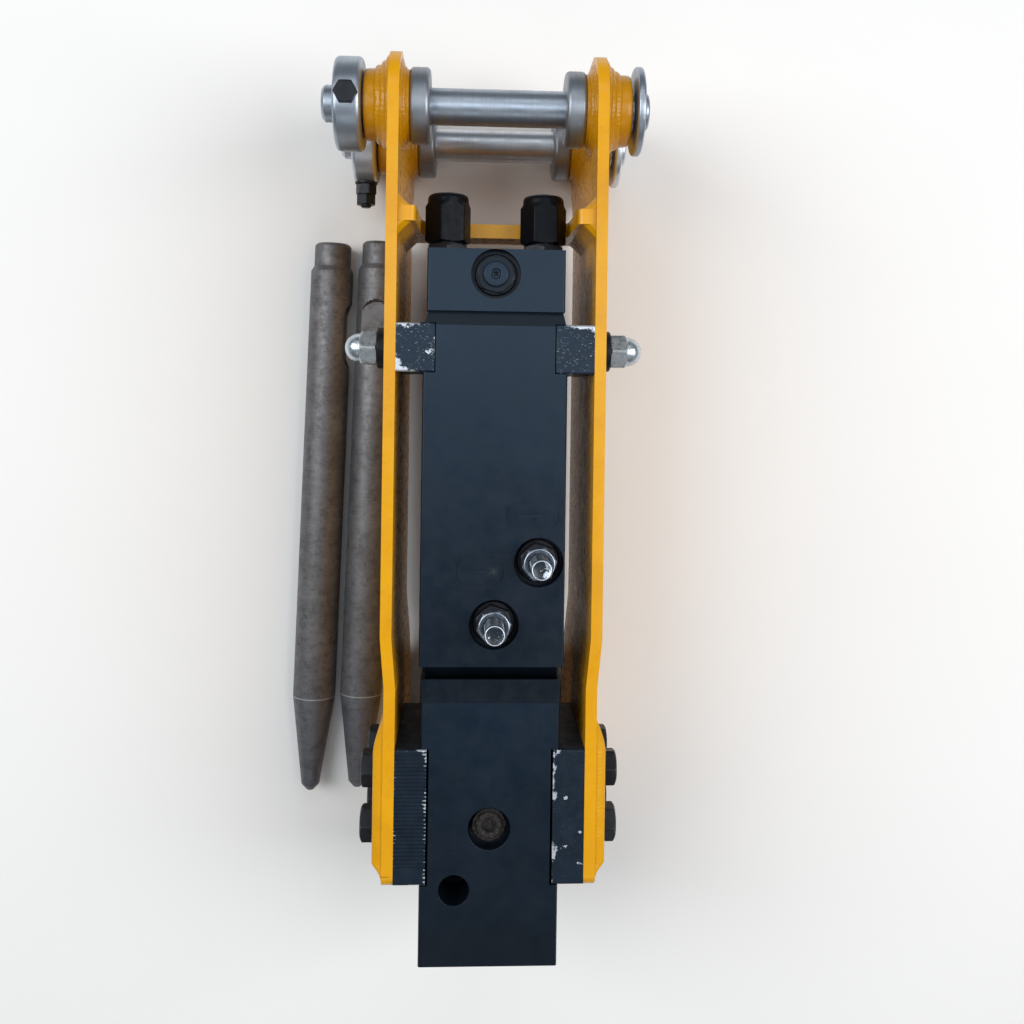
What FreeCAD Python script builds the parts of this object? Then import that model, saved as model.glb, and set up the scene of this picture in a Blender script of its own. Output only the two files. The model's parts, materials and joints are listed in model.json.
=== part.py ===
import FreeCAD, Part
import math
import os

# Hydraulic breaker hammer for a 40 mm tool, lying on its back, with two spare chisels beside it.
# Millimetres. Origin: centre of the tool bore's mouth. +Y runs up the tool axis towards the
# carrier pins, +Z is out of the breaker's front face (up, as it lies), +X is to the right.

V = FreeCAD.Vector
X_AXIS = V(1, 0, 0)
Y_AXIS = V(0, 1, 0)
Z_AXIS = V(0, 0, 1)

# ---- driving dimensions -------------------------------------------------------------------
FACE_Z = 66.0                 # front face of the breaker body; its back is at -FACE_Z
REST_Z = -164.0               # the surface that the side plates lie on
RUN_GAP = 0.05                # radial running clearance of every moving shaft

# breaker body, from the tool end up
HEAD_HALF_X = 54.2            # half width of front head and back head
CYL_HALF_X = 56.7             # half width of the cylinder
FRONT_HEAD_Y = 206.0
STEP_Y = 224.0                # top of the front head's recessed flange, foot of the cylinder
GROOVE_Y = 234.0
BEVEL_Y = 501.0               # the cylinder's sloping top starts here
BACK_HEAD_Y = 512.0
BODY_TOP_Y = 561.0
STEP_IN = 1.2                 # the flange stands this much inside the cylinder's outline
GROOVE_DEPTH = 5.0
EDGE = 1.2                    # small chamfer on machined edges

# tool end
TOOL_R = 20.0
TOOL_BORE_R = 20.2
BUSH_R = 28.0
LOWER_BUSH = (0.0, 44.0)
UPPER_BUSH = (76.0, 150.0)
STRIKE_CHAMBER_R = 24.0
RETAINER_X = -27.0
RETAINER_Y = 59.5
RETAINER_R = 12.0
RETAINER_HOLE_R = 12.05
RETAINER_TOP_Z = 30.0
RETAINER_FOOT_Z = -54.0
LOCK_PLUG_Y = 107.5
LOCK_PLUG_R = 16.5

# piston and its bores
STEM_R = 19.0
LAND_R = 22.0
WAIST_R = 19.5
TAIL_R = 18.0
PISTON_FOOT_Y = 162.0
FRONT_LAND = (285.0, 330.0)
REAR_LAND = (355.0, 394.0)
PISTON_TOP_Y = 497.0
STROKE = 45.0
MAIN_BORE = (275.0, 441.0)
CARRIER_R = 30.0
CARRIER_STEP_Y = 487.0
GAS_R = 26.0
GAS_TOP_Y = 549.0
SEAL_DEPTH = 4.0
SEAL_WIDTH = 6.0
STEM_SEALS = (240.0, 252.0)
DUST_SEAL_Y = 226.0
GAS_SEALS = (452.0, 466.0)
CARRIER_O_RINGS = (447.0, 475.0)

# control valve, beside the piston
VALVE_Z = -46.0
VALVE_POCKET_R = 13.0
VALVE_POCKET_Y = 395.0
SLEEVE = (400.0, 498.0)
SLEEVE_BORE_R = 8.05
SPOOL_R = 8.0
SPOOL = (405.0, 470.0)
SPOOL_TRAVEL = 12.0

# through bolts that clamp the three blocks
TIE_X = 37.0
TIE_Z = 32.0
TIE_R = 7.0
TIE_HOLE_R = 7.25
TIE_FOOT_Y = 120.0
TIE_HEAD_R = 10.5
TIE_HEAD = 14.0
TIE_SINK_R = 11.0

# hose ports, adapters and caps
PORT_X = 40.0
PORT_R = 10.5
PORT_DEPTH = 18.0
PASSAGE_R = 5.0
CAP_AF = 34.0
CAP = (573.0, 614.5)
CAP_HEX_TOP_Y = 606.0
CAP_BORE_R = 13.0
NOSE_TOP_Y = 599.0

# valves on the front face: centre X, centre Y
CHARGE_AT = (-0.5, 541.5)
UPPER_ADJUSTER_AT = (36.0, 316.0)
LOWER_ADJUSTER_AT = (1.5, 267.0)
SINK_R = 19.5
SINK_DEPTH = 12.0
ADJUSTER_STUD_R = 8.0
ADJUSTER_STUD_RISE = 40.0

# engraved frames beside the adjusters: centre X, centre Y, half length, half width
MARKS = ((31.0, 353.0, 20.5, 10.5), (-10.0, 309.0, 18.5, 11.0))
MARK_WIDTH = 0.9
MARK_DEPTH = 0.5

# side plates
PLATE_T = 9.0
PLATE_IN_UPPER = 78.0         # inner face above the bend
PLATE_IN_LOWER = 74.5         # inner face below the bend
BEND = (217.0, 256.0)
PLATE_FOOT_Y = 61.0
PIN_END_R = 41.8              # rounded plate end around the pins
RELIEF_Z = -139.0             # rear edge between the two resting stretches
PAD_T = 8.0
PAD = (66.0, 192.0)
PAD_SLOPE = 27.0

# pins and bosses
PIN_Y = 682.4
ARM_PIN_Z = 21.0
LINK_PIN_Z = -119.0
PIN_R = 15.0
PIN_X = (-143.0, 124.0)
BOSS_R = 29.0
BOSS_X = (71.0, 108.0)
BUSH_SHANK_R = 21.0
FLANGE_R = 31.0
FLANGE_X = 55.0
DISC_R = 36.0
DISC_X = (111.5, 118.0)
COLLAR_R = 37.9
COLLAR_X = (-131.5, -109.2)
COLLAR_BOLT_R = 5.0
COLLAR_BOLT_AF = 17.0
COLLAR_WASHER_R = 10.5
COLLAR_FLAT = 36.0
OUTER_WELD = (13.0, 12.0)      # leg along the boss, leg along the plate
INNER_WELD = (4.0, 8.5)

# cross plate between the side plates
CROSS_Y = (582.5, 594.5)
CROSS_Z = (-69.0, 62.0)
NOTCH_Z = -29.0
NOTCH_X = 62.0
CROSS_WELD = 11.0

# key blocks
UPPER_KEY_IN = 47.6
UPPER_KEY = (464.0, 502.5)
UPPER_KEY_GAP = 0.8
LOWER_KEY_IN = 49.5
LOWER_KEY = (63.5, 169.5)
LOWER_KEY_GAP = 1.8
KEY_END_GAP = 0.3             # between a key's ends and its groove
RIDGE_PITCH = 3.0
RIDGE_DEPTH = 0.7
STUD_Y = 484.5
STUD_R = 9.0
SPACER_T = 10.5
SPACER_R = 17.0
NUT_AF = 27.0
NUT_LENGTH = 27.0
DOME_R = 12.2
KEY_BOLT_Y = (100.0, 144.5)
KEY_BOLT_Z = (-32.0, 32.0)
KEY_BOLT_R = 9.0
KEY_BOLT_AF = 27.0
KEY_BOLT_HEAD = 11.5

# chisels: (X, Y) of the top end and lean towards -X at the point
CHISEL_LENGTH = 526.0
CHISEL_NECK = 22.0
CHISEL_NECK_R = 17.25
CHISEL_CONE = 91.0
CHISEL_FLAT = (58.0, 118.0)
CHISEL_FLAT_DEPTH = 5.5
CHISELS = {
    "chisel_outer": {"top": (-153.4, 589.8), "lean": 1.65, "roll": 90.0},
    "chisel_inner": {"top": (-108.0, 592.3), "lean": 1.7, "roll": 0.0},
}


# ---- shape helpers ------------------------------------------------------------------------
def box(x, y, z):
    """Block between three (low, high) pairs."""
    return Part.makeBox(x[1] - x[0], y[1] - y[0], z[1] - z[0], V(x[0], y[0], z[0]))


def rod(r, a, b, at, axis):
    """Cylinder from a to b along an axis; at gives the other two coordinates, in X, Y, Z order."""
    if axis == X_AXIS:
        return Part.makeCylinder(r, b - a, V(a, at[0], at[1]), axis)
    if axis == Y_AXIS:
        return Part.makeCylinder(r, b - a, V(at[0], a, at[1]), axis)
    return Part.makeCylinder(r, b - a, V(at[0], at[1], a), axis)


def tube(r_out, r_in, a, b, at, axis):
    return rod(r_out, a, b, at, axis).cut(rod(r_in, a - 1, b + 1, at, axis))


def drill(start, end, r):
    """Straight drilled passage between two points."""
    run = V(*end) - V(*start)
    return Part.makeCylinder(r, run.Length, V(*start), run)


def lathe(profile, at, axis):
    """Turned piece: profile is (distance along the axis, radius) points, closed on the axis."""
    points = [V(along, radius, 0) for along, radius in profile]
    ends = [V(profile[-1][0], 0, 0), V(profile[0][0], 0, 0)]
    face = Part.Face(Part.makePolygon(points + ends + [points[0]]))
    return stand(face.revolve(V(0, 0, 0), X_AXIS, 360), at, axis)


def stand(shape, at, axis):
    """Turn a shape made about X so that it lies about the axis through at."""
    turned = shape.copy()
    if axis == Y_AXIS:
        turned.rotate(V(0, 0, 0), Z_AXIS, 90)
        turned.translate(V(at[0], 0, at[1]))
    elif axis == Z_AXIS:
        turned.rotate(V(0, 0, 0), Y_AXIS, -90)
        turned.translate(V(at[0], at[1], 0))
    else:
        turned.translate(V(0, at[0], at[1]))
    return turned


def hexagon(af, a, b, at, axis, turn=0.0):
    """Hexagonal prism from a to b along the axis; turn is the angle of its first corner."""
    r = af / math.sqrt(3)
    corners = []
    for i in range(7):
        angle = math.radians(60 * i + turn)
        corners.append(V(a, r * math.cos(angle), r * math.sin(angle)))
    prism = Part.Face(Part.makePolygon(corners)).extrude(V(b - a, 0, 0))
    return stand(prism, at, axis)


def nut_blank(af, a, b, at, axis, turn=0.0, round_foot=False):
    """Hexagon with the turned chamfer that rounds off its corners at the far end."""
    r = af / math.sqrt(3)
    drop = 0.16 * af
    profile = [(a, r), (b - drop * 0.5, r), (b, r - drop * 0.75)]
    if round_foot:
        profile = [(a, r - drop * 0.5), (a + drop * 0.4, r)] + profile[1:]
    return hexagon(af, a, b, at, axis, turn).common(lathe(profile, at, axis))


def outline(points):
    """Closed wire from (u, v, corner radius) points in a plane, with arcs tangent to both sides."""
    edges = []
    last_end = None
    first_start = None
    count = len(points)
    for i in range(count):
        before = V(*points[i - 1][:2])
        corner = V(*points[i][:2])
        after = V(*points[(i + 1) % count][:2])
        radius = points[i][2]
        to_before = (before - corner).normalize()
        to_after = (after - corner).normalize()
        start = corner
        end = corner
        if radius > 0:
            half = to_before.getAngle(to_after) / 2
            start = corner + to_before * (radius / math.tan(half))
            end = corner + to_after * (radius / math.tan(half))
            bisector = (to_before + to_after).normalize()
            middle = corner + bisector * (radius / math.sin(half) - radius)
        if last_end is not None:
            edges.append(Part.makeLine(last_end, start))
        else:
            first_start = start
        if radius > 0:
            edges.append(Part.Arc(start, middle, end).toShape())
        last_end = end
    edges.append(Part.makeLine(last_end, first_start))
    return Part.Wire(edges)


def plate_yz(points, x_low, x_high):
    """Plate with its outline in Y and Z, thick along X."""
    face = Part.Face(outline(points))
    face.rotate(V(0, 0, 0), V(1, 1, 1), 120)
    face.translate(V(x_low, 0, 0))
    return face.extrude(V(x_high - x_low, 0, 0))


def plate_xz(points, y_low, y_high):
    """Plate with its outline in X and Z, thick along Y."""
    face = Part.Face(outline(points))
    face.rotate(V(0, 0, 0), X_AXIS, 90)
    face.translate(V(0, y_high, 0))
    return face.extrude(V(0, y_low - y_high, 0))


def plan(points, z_low, z_high):
    """Block with its outline in X and Y, tall along Z."""
    face = Part.Face(outline(points))
    face.translate(V(0, 0, z_low))
    return face.extrude(V(0, 0, z_high - z_low))


def chamfer_along(shape, direction, size):
    """Chamfer every straight edge that runs along one direction."""
    edges = []
    for edge in shape.Edges:
        if len(edge.Vertexes) != 2:
            continue
        run = edge.Vertexes[1].Point - edge.Vertexes[0].Point
        if run.Length > size * 3 and run.cross(direction).Length < 1e-6 * run.Length:
            edges.append(edge)
    return shape.makeChamfer(size, edges)


def mirrored(shape):
    """The same piece on the other side of the tool axis."""
    return shape.mirror(V(0, 0, 0), X_AXIS)


def both_sides(shape):
    return [shape, mirrored(shape)]


def cut_all(shape, tools):
    for tool in tools:
        shape = shape.cut(tool)
    return shape


def fuse_all(shapes):
    shape = shapes[0]
    for other in shapes[1:]:
        shape = shape.fuse(other)
    return shape.removeSplitter()


# ---- bracket ------------------------------------------------------------------------------
def plate_outline(grow=0.0):
    """Outline of a right-hand side plate in Y and Z."""
    top = PIN_Y + PIN_END_R + grow
    return [
        (PLATE_FOOT_Y - grow, FACE_Z + grow, 10),
        (top, FACE_Z + grow, PIN_END_R),
        (top, REST_Z, PIN_END_R),
        (645, REST_Z, 30),
        (606, RELIEF_Z, 30),
        (216, RELIEF_Z, 30),
        (180, REST_Z, 30),
        (112, REST_Z, 25),
        (PLATE_FOOT_Y - grow, -104, 20),
    ]


def bent_slab():
    """The space between a bent plate's two faces, seen in plan."""
    low, high = BEND
    upper, lower = PLATE_IN_UPPER, PLATE_IN_LOWER
    return plan([
        (lower, 0, 0), (lower + PLATE_T, 0, 0), (lower + PLATE_T, low, 60),
        (upper + PLATE_T, high, 60), (upper + PLATE_T, 800, 0), (upper, 800, 0),
        (upper, high, 60), (lower, low, 60),
    ], REST_Z - 10, FACE_Z + 10)


def key_bolt_holes(r, a, b):
    return [rod(r, a, b, (y, z), X_AXIS) for y in KEY_BOLT_Y for z in KEY_BOLT_Z]


def side_plate():
    plate = plate_yz(plate_outline(), PLATE_IN_LOWER - 5, PLATE_IN_UPPER + PLATE_T + 5)
    plate = plate.common(bent_slab())
    holes = [rod(BOSS_R, 60, 120, (PIN_Y, z), X_AXIS) for z in (ARM_PIN_Z, LINK_PIN_Z)]
    holes.append(rod(STUD_R + 0.5, 60, 120, (STUD_Y, 0), X_AXIS))
    return cut_all(plate, holes + key_bolt_holes(KEY_BOLT_R + 0.5, 60, 120))


def bolt_pad():
    """Pad welded outside the plate's lower end: sloped at its top, hollow weld at its foot."""
    face_x = PLATE_IN_LOWER + PLATE_T
    low, high = PAD
    pad = plan([
        (face_x, low, 0), (face_x + PAD_T * 0.45, low + 6, 12), (face_x + PAD_T, low + 14, 6),
        (face_x + PAD_T, high - PAD_SLOPE, 12), (face_x, high, 0),
    ], -FACE_Z, FACE_Z)
    return cut_all(pad, key_bolt_holes(KEY_BOLT_R + 0.5, 60, 120))


def boss(z):
    return tube(BOSS_R, BUSH_SHANK_R, BOSS_X[0], BOSS_X[1], (PIN_Y, z), X_AXIS)


def weld_ring(leg_x, leg_r, plate_x, outwards, z):
    """Fillet weld in three passes round a boss: a sloping profile with three rounded beads."""
    passes = 3
    edges = []
    side = 1 if outwards else -1
    toe = V(plate_x, BOSS_R + leg_r, 0)
    crest = V(plate_x + side * leg_x, BOSS_R, 0)
    root = V(plate_x, BOSS_R, 0)
    out = V(side * leg_r, leg_x, 0).normalize()
    for i in range(passes):
        start = toe + (crest - toe) * (i / passes)
        end = toe + (crest - toe) * ((i + 1) / passes)
        bulge = (start + end) * 0.5 + out * (0.09 * leg_r)
        edges.append(Part.Arc(start, bulge, end).toShape())
    edges.append(Part.makeLine(crest, root))
    edges.append(Part.makeLine(root, toe))
    ring = Part.Face(Part.Wire(edges)).revolve(V(0, 0, 0), X_AXIS, 360)
    return stand(ring, (PIN_Y, z), X_AXIS)


def boss_welds():
    """The four weld rings of the right-hand plate."""
    rings = []
    for z in (ARM_PIN_Z, LINK_PIN_Z):
        outer_x = PLATE_IN_UPPER + PLATE_T
        rings.append(weld_ring(OUTER_WELD[0], OUTER_WELD[1], outer_x, True, z))
        rings.append(weld_ring(INNER_WELD[0], INNER_WELD[1], PLATE_IN_UPPER, False, z))
    return rings


def flanged_bush(z):
    profile = [
        (FLANGE_X, PIN_R + RUN_GAP), (FLANGE_X, FLANGE_R - 1.5), (FLANGE_X + 1.5, FLANGE_R),
        (BOSS_X[0] - 0.8, FLANGE_R), (BOSS_X[0], FLANGE_R - 0.8), (BOSS_X[0], BUSH_SHANK_R),
        (BOSS_X[1], BUSH_SHANK_R), (BOSS_X[1], PIN_R + RUN_GAP),
    ]
    points = [V(x, r, 0) for x, r in profile]
    face = Part.Face(Part.makePolygon(points + [points[0]]))
    return stand(face.revolve(V(0, 0, 0), X_AXIS, 360), (PIN_Y, z), X_AXIS)


def cross_plate():
    """Plate across the bracket, low in the middle where the hoses pass over it."""
    wide = PLATE_IN_UPPER
    return plate_xz([
        (-wide, CROSS_Z[0], 0), (wide, CROSS_Z[0], 0), (wide, CROSS_Z[1], 0),
        (NOTCH_X + 2, CROSS_Z[1], 4), (NOTCH_X, NOTCH_Z, 22), (-NOTCH_X, NOTCH_Z, 22),
        (-NOTCH_X - 2, CROSS_Z[1], 4), (-wide, CROSS_Z[1], 0),
    ], CROSS_Y[0], CROSS_Y[1])


def cross_plate_welds():
    """Fillets along both faces of the cross plate, where it meets the side plates."""
    welds = []
    wide = PLATE_IN_UPPER
    for face_y, side in ((CROSS_Y[0], -1), (CROSS_Y[1], 1)):
        corner = V(wide, face_y, CROSS_Z[0])
        on_plate = V(wide, face_y + side * CROSS_WELD, CROSS_Z[0])
        on_cross = V(wide - CROSS_WELD, face_y, CROSS_Z[0])
        middle = (on_plate + on_cross) * 0.5 + V(-1, side, 0) * 0.9
        bead = Part.Arc(on_plate, middle, on_cross).toShape()
        wire = Part.Wire([bead, Part.makeLine(on_cross, corner), Part.makeLine(corner, on_plate)])
        weld = Part.Face(wire).extrude(V(0, 0, CROSS_Z[1] - CROSS_Z[0]))
        welds += both_sides(weld)
    return welds


# ---- key blocks and their fasteners ---------------------------------------------------------
def upper_key():
    key = box((UPPER_KEY_IN, PLATE_IN_UPPER), UPPER_KEY, (-FACE_Z, FACE_Z))
    key = chamfer_along(key, X_AXIS, EDGE)
    return key.cut(rod(STUD_R, UPPER_KEY_IN + 5, 90, (STUD_Y, 0), X_AXIS))


def lower_key(ridged):
    key = box((LOWER_KEY_IN, PLATE_IN_LOWER), LOWER_KEY, (-FACE_Z, FACE_Z))
    key = chamfer_along(key, X_AXIS, EDGE)
    key = cut_all(key, key_bolt_holes(KEY_BOLT_R, LOWER_KEY_IN + 4, 90))
    if ridged:
        y = LOWER_KEY[0] + 14
        while y < LOWER_KEY[1] - 4:
            key = key.cut(box((LOWER_KEY_IN - 1, 80), (y, y + RIDGE_PITCH * 0.45),
                              (FACE_Z - RIDGE_DEPTH, FACE_Z + 1)))
            y += RIDGE_PITCH
    return key


def upper_key_stud():
    end = PLATE_IN_UPPER + PLATE_T + SPACER_T + NUT_LENGTH * 0.55
    return rod(STUD_R, UPPER_KEY_IN + 6, end, (STUD_Y, 0), X_AXIS)


def upper_key_spacer():
    start = PLATE_IN_UPPER + PLATE_T
    ring = lathe([(start, SPACER_R), (start + SPACER_T - 1, SPACER_R),
                  (start + SPACER_T, SPACER_R - 1)], (STUD_Y, 0), X_AXIS)
    return ring.cut(rod(STUD_R + 0.5, start - 1, start + SPACER_T + 1, (STUD_Y, 0), X_AXIS))


def dome_nut():
    start = PLATE_IN_UPPER + PLATE_T + SPACER_T
    at = (STUD_Y, 0)
    hex_end = start + NUT_LENGTH * 0.5
    centre = start + NUT_LENGTH - DOME_R
    base = nut_blank(NUT_AF, start, hex_end, at, X_AXIS, 30, True)
    neck = rod(DOME_R, hex_end - 3, centre, at, X_AXIS)
    dome = Part.makeSphere(DOME_R, V(centre, STUD_Y, 0))
    dome = dome.common(rod(DOME_R + 1, centre, 200, at, X_AXIS))
    hole = rod(STUD_R, start - 1, start + NUT_LENGTH * 0.55, at, X_AXIS)
    return fuse_all([base, neck, dome]).cut(hole)


def lower_key_bolts():
    """The four bolts of the right-hand lower key."""
    seat = PLATE_IN_LOWER + PLATE_T + PAD_T
    bolts = []
    for y in KEY_BOLT_Y:
        for z in KEY_BOLT_Z:
            head = nut_blank(KEY_BOLT_AF, seat, seat + KEY_BOLT_HEAD, (y, z), X_AXIS, 30)
            shank = rod(KEY_BOLT_R, LOWER_KEY_IN + 5, seat, (y, z), X_AXIS)
            bolts.append(fuse_all([head, shank]))
    return bolts


# ---- breaker body ---------------------------------------------------------------------------
def key_groove(key_in, key, gap):
    """Grooves in both sides of the body for a pair of keys."""
    ends = (key[0] - KEY_END_GAP, key[1] + KEY_END_GAP)
    groove = box((key_in - gap, 70), ends, (-80, 80))
    return both_sides(groove)


def tie_places():
    return [(x, z) for x in (-TIE_X, TIE_X) for z in (-TIE_Z, TIE_Z)]


def front_head():
    main = box((-HEAD_HALF_X, HEAD_HALF_X), (0, FRONT_HEAD_Y), (-FACE_Z, FACE_Z))
    main = chamfer_along(main, Y_AXIS, EDGE)
    flange_x = HEAD_HALF_X + 1.0
    flange_z = FACE_Z - STEP_IN
    flange = box((-flange_x, flange_x), (FRONT_HEAD_Y, STEP_Y), (-flange_z, flange_z))
    flange = chamfer_along(flange, Y_AXIS, EDGE)
    head = fuse_all([main, flange])
    at = (0, 0)
    cuts = [
        rod(BUSH_R, -1, LOWER_BUSH[1], at, Y_AXIS),
        rod(TOOL_R + 2, LOWER_BUSH[1] - 1, UPPER_BUSH[0] + 1, at, Y_AXIS),
        rod(BUSH_R, UPPER_BUSH[0], STEP_Y + 1, at, Y_AXIS),
        rod(RETAINER_HOLE_R, -80, 80, (RETAINER_X, RETAINER_Y), Z_AXIS),
        rod(LOCK_PLUG_R, FACE_Z - 14, 80, (0, LOCK_PLUG_Y), Z_AXIS),
        rod(9.0, BUSH_R - 4, 80, (0, LOCK_PLUG_Y), Z_AXIS),
    ]
    cuts += [rod(TIE_R, TIE_FOOT_Y, STEP_Y + 1, place, Y_AXIS) for place in tie_places()]
    cuts += key_groove(LOWER_KEY_IN, LOWER_KEY, LOWER_KEY_GAP)
    return cut_all(head, cuts)


def lower_tool_bush():
    bush = tube(BUSH_R, TOOL_BORE_R, LOWER_BUSH[0], LOWER_BUSH[1], (0, 0), Y_AXIS)
    return bush


def upper_tool_bush():
    bush = tube(BUSH_R, TOOL_BORE_R, UPPER_BUSH[0], UPPER_BUSH[1], (0, 0), Y_AXIS)
    return bush.cut(rod(8.0, BUSH_R - 4, 40, (0, LOCK_PLUG_Y), Z_AXIS))


def thrust_ring():
    """Ring above the bushes that stops the tool going further in."""
    return tube(BUSH_R, STEM_R + 0.6, UPPER_BUSH[1], UPPER_BUSH[1] + 16, (0, 0), Y_AXIS)


def bush_lock_plug():
    """Threaded plug with a socket; its tip sits in the upper bush."""
    at = (0, LOCK_PLUG_Y)
    top = FACE_Z - 6
    plug = lathe([(BUSH_R - 4, 8.0), (BUSH_R, 8.0), (BUSH_R, 9.0), (FACE_Z - 14, 9.0),
                  (FACE_Z - 14, 13.5), (top - 2.5, 13.5), (top - 2.5, 11.0), (top, 10.0)],
                 at, Z_AXIS)
    return plug.cut(hexagon(10.0, top - 7, top + 1, at, Z_AXIS))


def tool_retainer_pin():
    at = (RETAINER_X, RETAINER_Y)
    pin = lathe([(RETAINER_FOOT_Z, RETAINER_R - 2), (RETAINER_FOOT_Z + 2, RETAINER_R),
                 (RETAINER_TOP_Z - 2, RETAINER_R), (RETAINER_TOP_Z, RETAINER_R - 2)], at, Z_AXIS)
    return pin.cut(rod(4.0, RETAINER_TOP_Z - 14, RETAINER_TOP_Z + 1, at, Z_AXIS))


def retainer_plug():
    """Rubber plug that closes the back of the retainer pin's hole."""
    return lathe([(-FACE_Z + 1, RETAINER_HOLE_R), (RETAINER_FOOT_Z - 2, RETAINER_HOLE_R),
                  (RETAINER_FOOT_Z, RETAINER_HOLE_R - 3)], (RETAINER_X, RETAINER_Y), Z_AXIS)


def frustum(low, high):
    """Solid between two rectangles across Y; each is (half X, half Z, Y)."""
    wires = []
    for half_x, half_z, y in (low, high):
        corners = [V(-half_x, y, -half_z), V(half_x, y, -half_z), V(half_x, y, half_z),
                   V(-half_x, y, half_z)]
        wires.append(Part.makePolygon(corners + [corners[0]]))
    return Part.makeLoft(wires, True, True)


def cylinder():
    """Cylinder block: grooved at its foot, sloping in at its top."""
    neck = box((GROOVE_DEPTH - CYL_HALF_X, CYL_HALF_X - GROOVE_DEPTH), (STEP_Y, GROOVE_Y + 5),
               (GROOVE_DEPTH - FACE_Z, FACE_Z - GROOVE_DEPTH))
    main = box((-CYL_HALF_X, CYL_HALF_X), (GROOVE_Y, BEVEL_Y), (-FACE_Z, FACE_Z))
    main = chamfer_along(main, Y_AXIS, EDGE)
    slope = frustum((CYL_HALF_X - EDGE, FACE_Z - EDGE, BEVEL_Y),
                    (HEAD_HALF_X - EDGE, FACE_Z - 4, BACK_HEAD_Y))
    block = fuse_all([main, neck, slope])
    at = (0, 0)
    cuts = [
        rod(STEM_R + RUN_GAP, STEP_Y - 1, MAIN_BORE[0] + 1, at, Y_AXIS),
        rod(LAND_R + RUN_GAP, MAIN_BORE[0], MAIN_BORE[1] + 1, at, Y_AXIS),
        rod(CARRIER_R, MAIN_BORE[1], BACK_HEAD_Y + 1, at, Y_AXIS),
        rod(VALVE_POCKET_R, VALVE_POCKET_Y, BACK_HEAD_Y + 1, (0, VALVE_Z), Y_AXIS),
    ]
    for y in STEM_SEALS:
        cuts.append(rod(STEM_R + SEAL_DEPTH, y, y + SEAL_WIDTH, at, Y_AXIS))
    cuts.append(rod(STEM_R + SEAL_DEPTH, DUST_SEAL_Y, DUST_SEAL_Y + SEAL_WIDTH, at, Y_AXIS))
    cuts += [rod(TIE_HOLE_R, STEP_Y - 1, BACK_HEAD_Y + 1, place, Y_AXIS) for place in tie_places()]
    cuts += oil_passages()
    for x, y in (UPPER_ADJUSTER_AT, LOWER_ADJUSTER_AT):
        cuts.append(rod(SINK_R, FACE_Z - SINK_DEPTH, 80, (x, y), Z_AXIS))
        cuts.append(rod(10.0, FACE_Z - SINK_DEPTH - 12, 80, (x, y), Z_AXIS))
    cuts += key_groove(UPPER_KEY_IN, UPPER_KEY, UPPER_KEY_GAP)
    cuts += engraved_marks()
    return cut_all(block, cuts)


def engraved_marks():
    """Rounded frames with an arrow inside, cut shallow into the front face."""
    marks = []
    low = FACE_Z - MARK_DEPTH
    for x, y, half_x, half_y in MARKS:
        frame = rounded_pad(x, y, half_x, half_y, low)
        inner = rounded_pad(x, y, half_x - MARK_WIDTH, half_y - MARK_WIDTH, low)
        marks.append(frame.cut(inner))
        tail = half_x * 0.55
        marks.append(plan([
            (x - tail, y - 0.6, 0), (x + 1, y - 0.6, 0), (x + 1, y - 3.5, 0), (x + tail, y, 0),
            (x + 1, y + 3.5, 0), (x + 1, y + 0.6, 0), (x - tail, y + 0.6, 0),
        ], low, FACE_Z + 1))
    return marks


def rounded_pad(x, y, half_x, half_y, low):
    r = half_y * 0.75
    return plan([(x - half_x, y - half_y, r), (x + half_x, y - half_y, r),
                 (x + half_x, y + half_y, r), (x - half_x, y + half_y, r)], low, FACE_Z + 1)


def oil_passages():
    """Drillings from both ports to the valve, and from the valve to the piston's front chamber."""
    passages = []
    for side, y in ((1, 425.0), (-1, 411.0)):
        passages.append(drill((side * PORT_X, BACK_HEAD_Y + 1, 0), (side * PORT_X, y - 4, 0), PASSAGE_R))
        passages.append(drill((side * PORT_X, y, 0), (0, y, VALVE_Z), 4.0))
    passages.append(drill((0, VALVE_POCKET_Y + 1, VALVE_Z), (0, 279, VALVE_Z), 4.0))
    passages.append(drill((0, 281, VALVE_Z), (0, 281, -LAND_R + 2), 3.5))
    return passages


def piston():
    low, high = PISTON_FOOT_Y, PISTON_TOP_Y
    return lathe([
        (low, STEM_R - 3), (low + 3, STEM_R), (FRONT_LAND[0], STEM_R), (FRONT_LAND[0], LAND_R),
        (FRONT_LAND[1], LAND_R), (FRONT_LAND[1], WAIST_R), (REAR_LAND[0], WAIST_R),
        (REAR_LAND[0], LAND_R), (REAR_LAND[1], LAND_R), (REAR_LAND[1], TAIL_R), (high - 2, TAIL_R),
        (high, TAIL_R - 2),
    ], (0, 0), Y_AXIS)


def seal(y, r_in):
    return tube(r_in + SEAL_DEPTH - RUN_GAP, r_in, y, y + SEAL_WIDTH, (0, 0), Y_AXIS)


def seal_carrier():
    """Sleeve that seals the piston's tail; its upper part is the gas chamber's wall."""
    carrier = rod(CARRIER_R, MAIN_BORE[1], BACK_HEAD_Y, (0, 0), Y_AXIS)
    cuts = [
        rod(TAIL_R + RUN_GAP, MAIN_BORE[1] - 1, CARRIER_STEP_Y + 1, (0, 0), Y_AXIS),
        rod(GAS_R, CARRIER_STEP_Y, BACK_HEAD_Y + 1, (0, 0), Y_AXIS),
    ]
    for y in GAS_SEALS:
        cuts.append(rod(TAIL_R + SEAL_DEPTH, y, y + SEAL_WIDTH, (0, 0), Y_AXIS))
    for y in CARRIER_O_RINGS:
        cuts.append(tube(CARRIER_R + 1, CARRIER_R - 2.5, y, y + 3.5, (0, 0), Y_AXIS))
    return cut_all(carrier, cuts)


def o_rings():
    rings = []
    for y in CARRIER_O_RINGS:
        rings.append(tube(CARRIER_R, CARRIER_R - 2.5, y, y + 3.5, (0, 0), Y_AXIS))
    return rings


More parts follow.
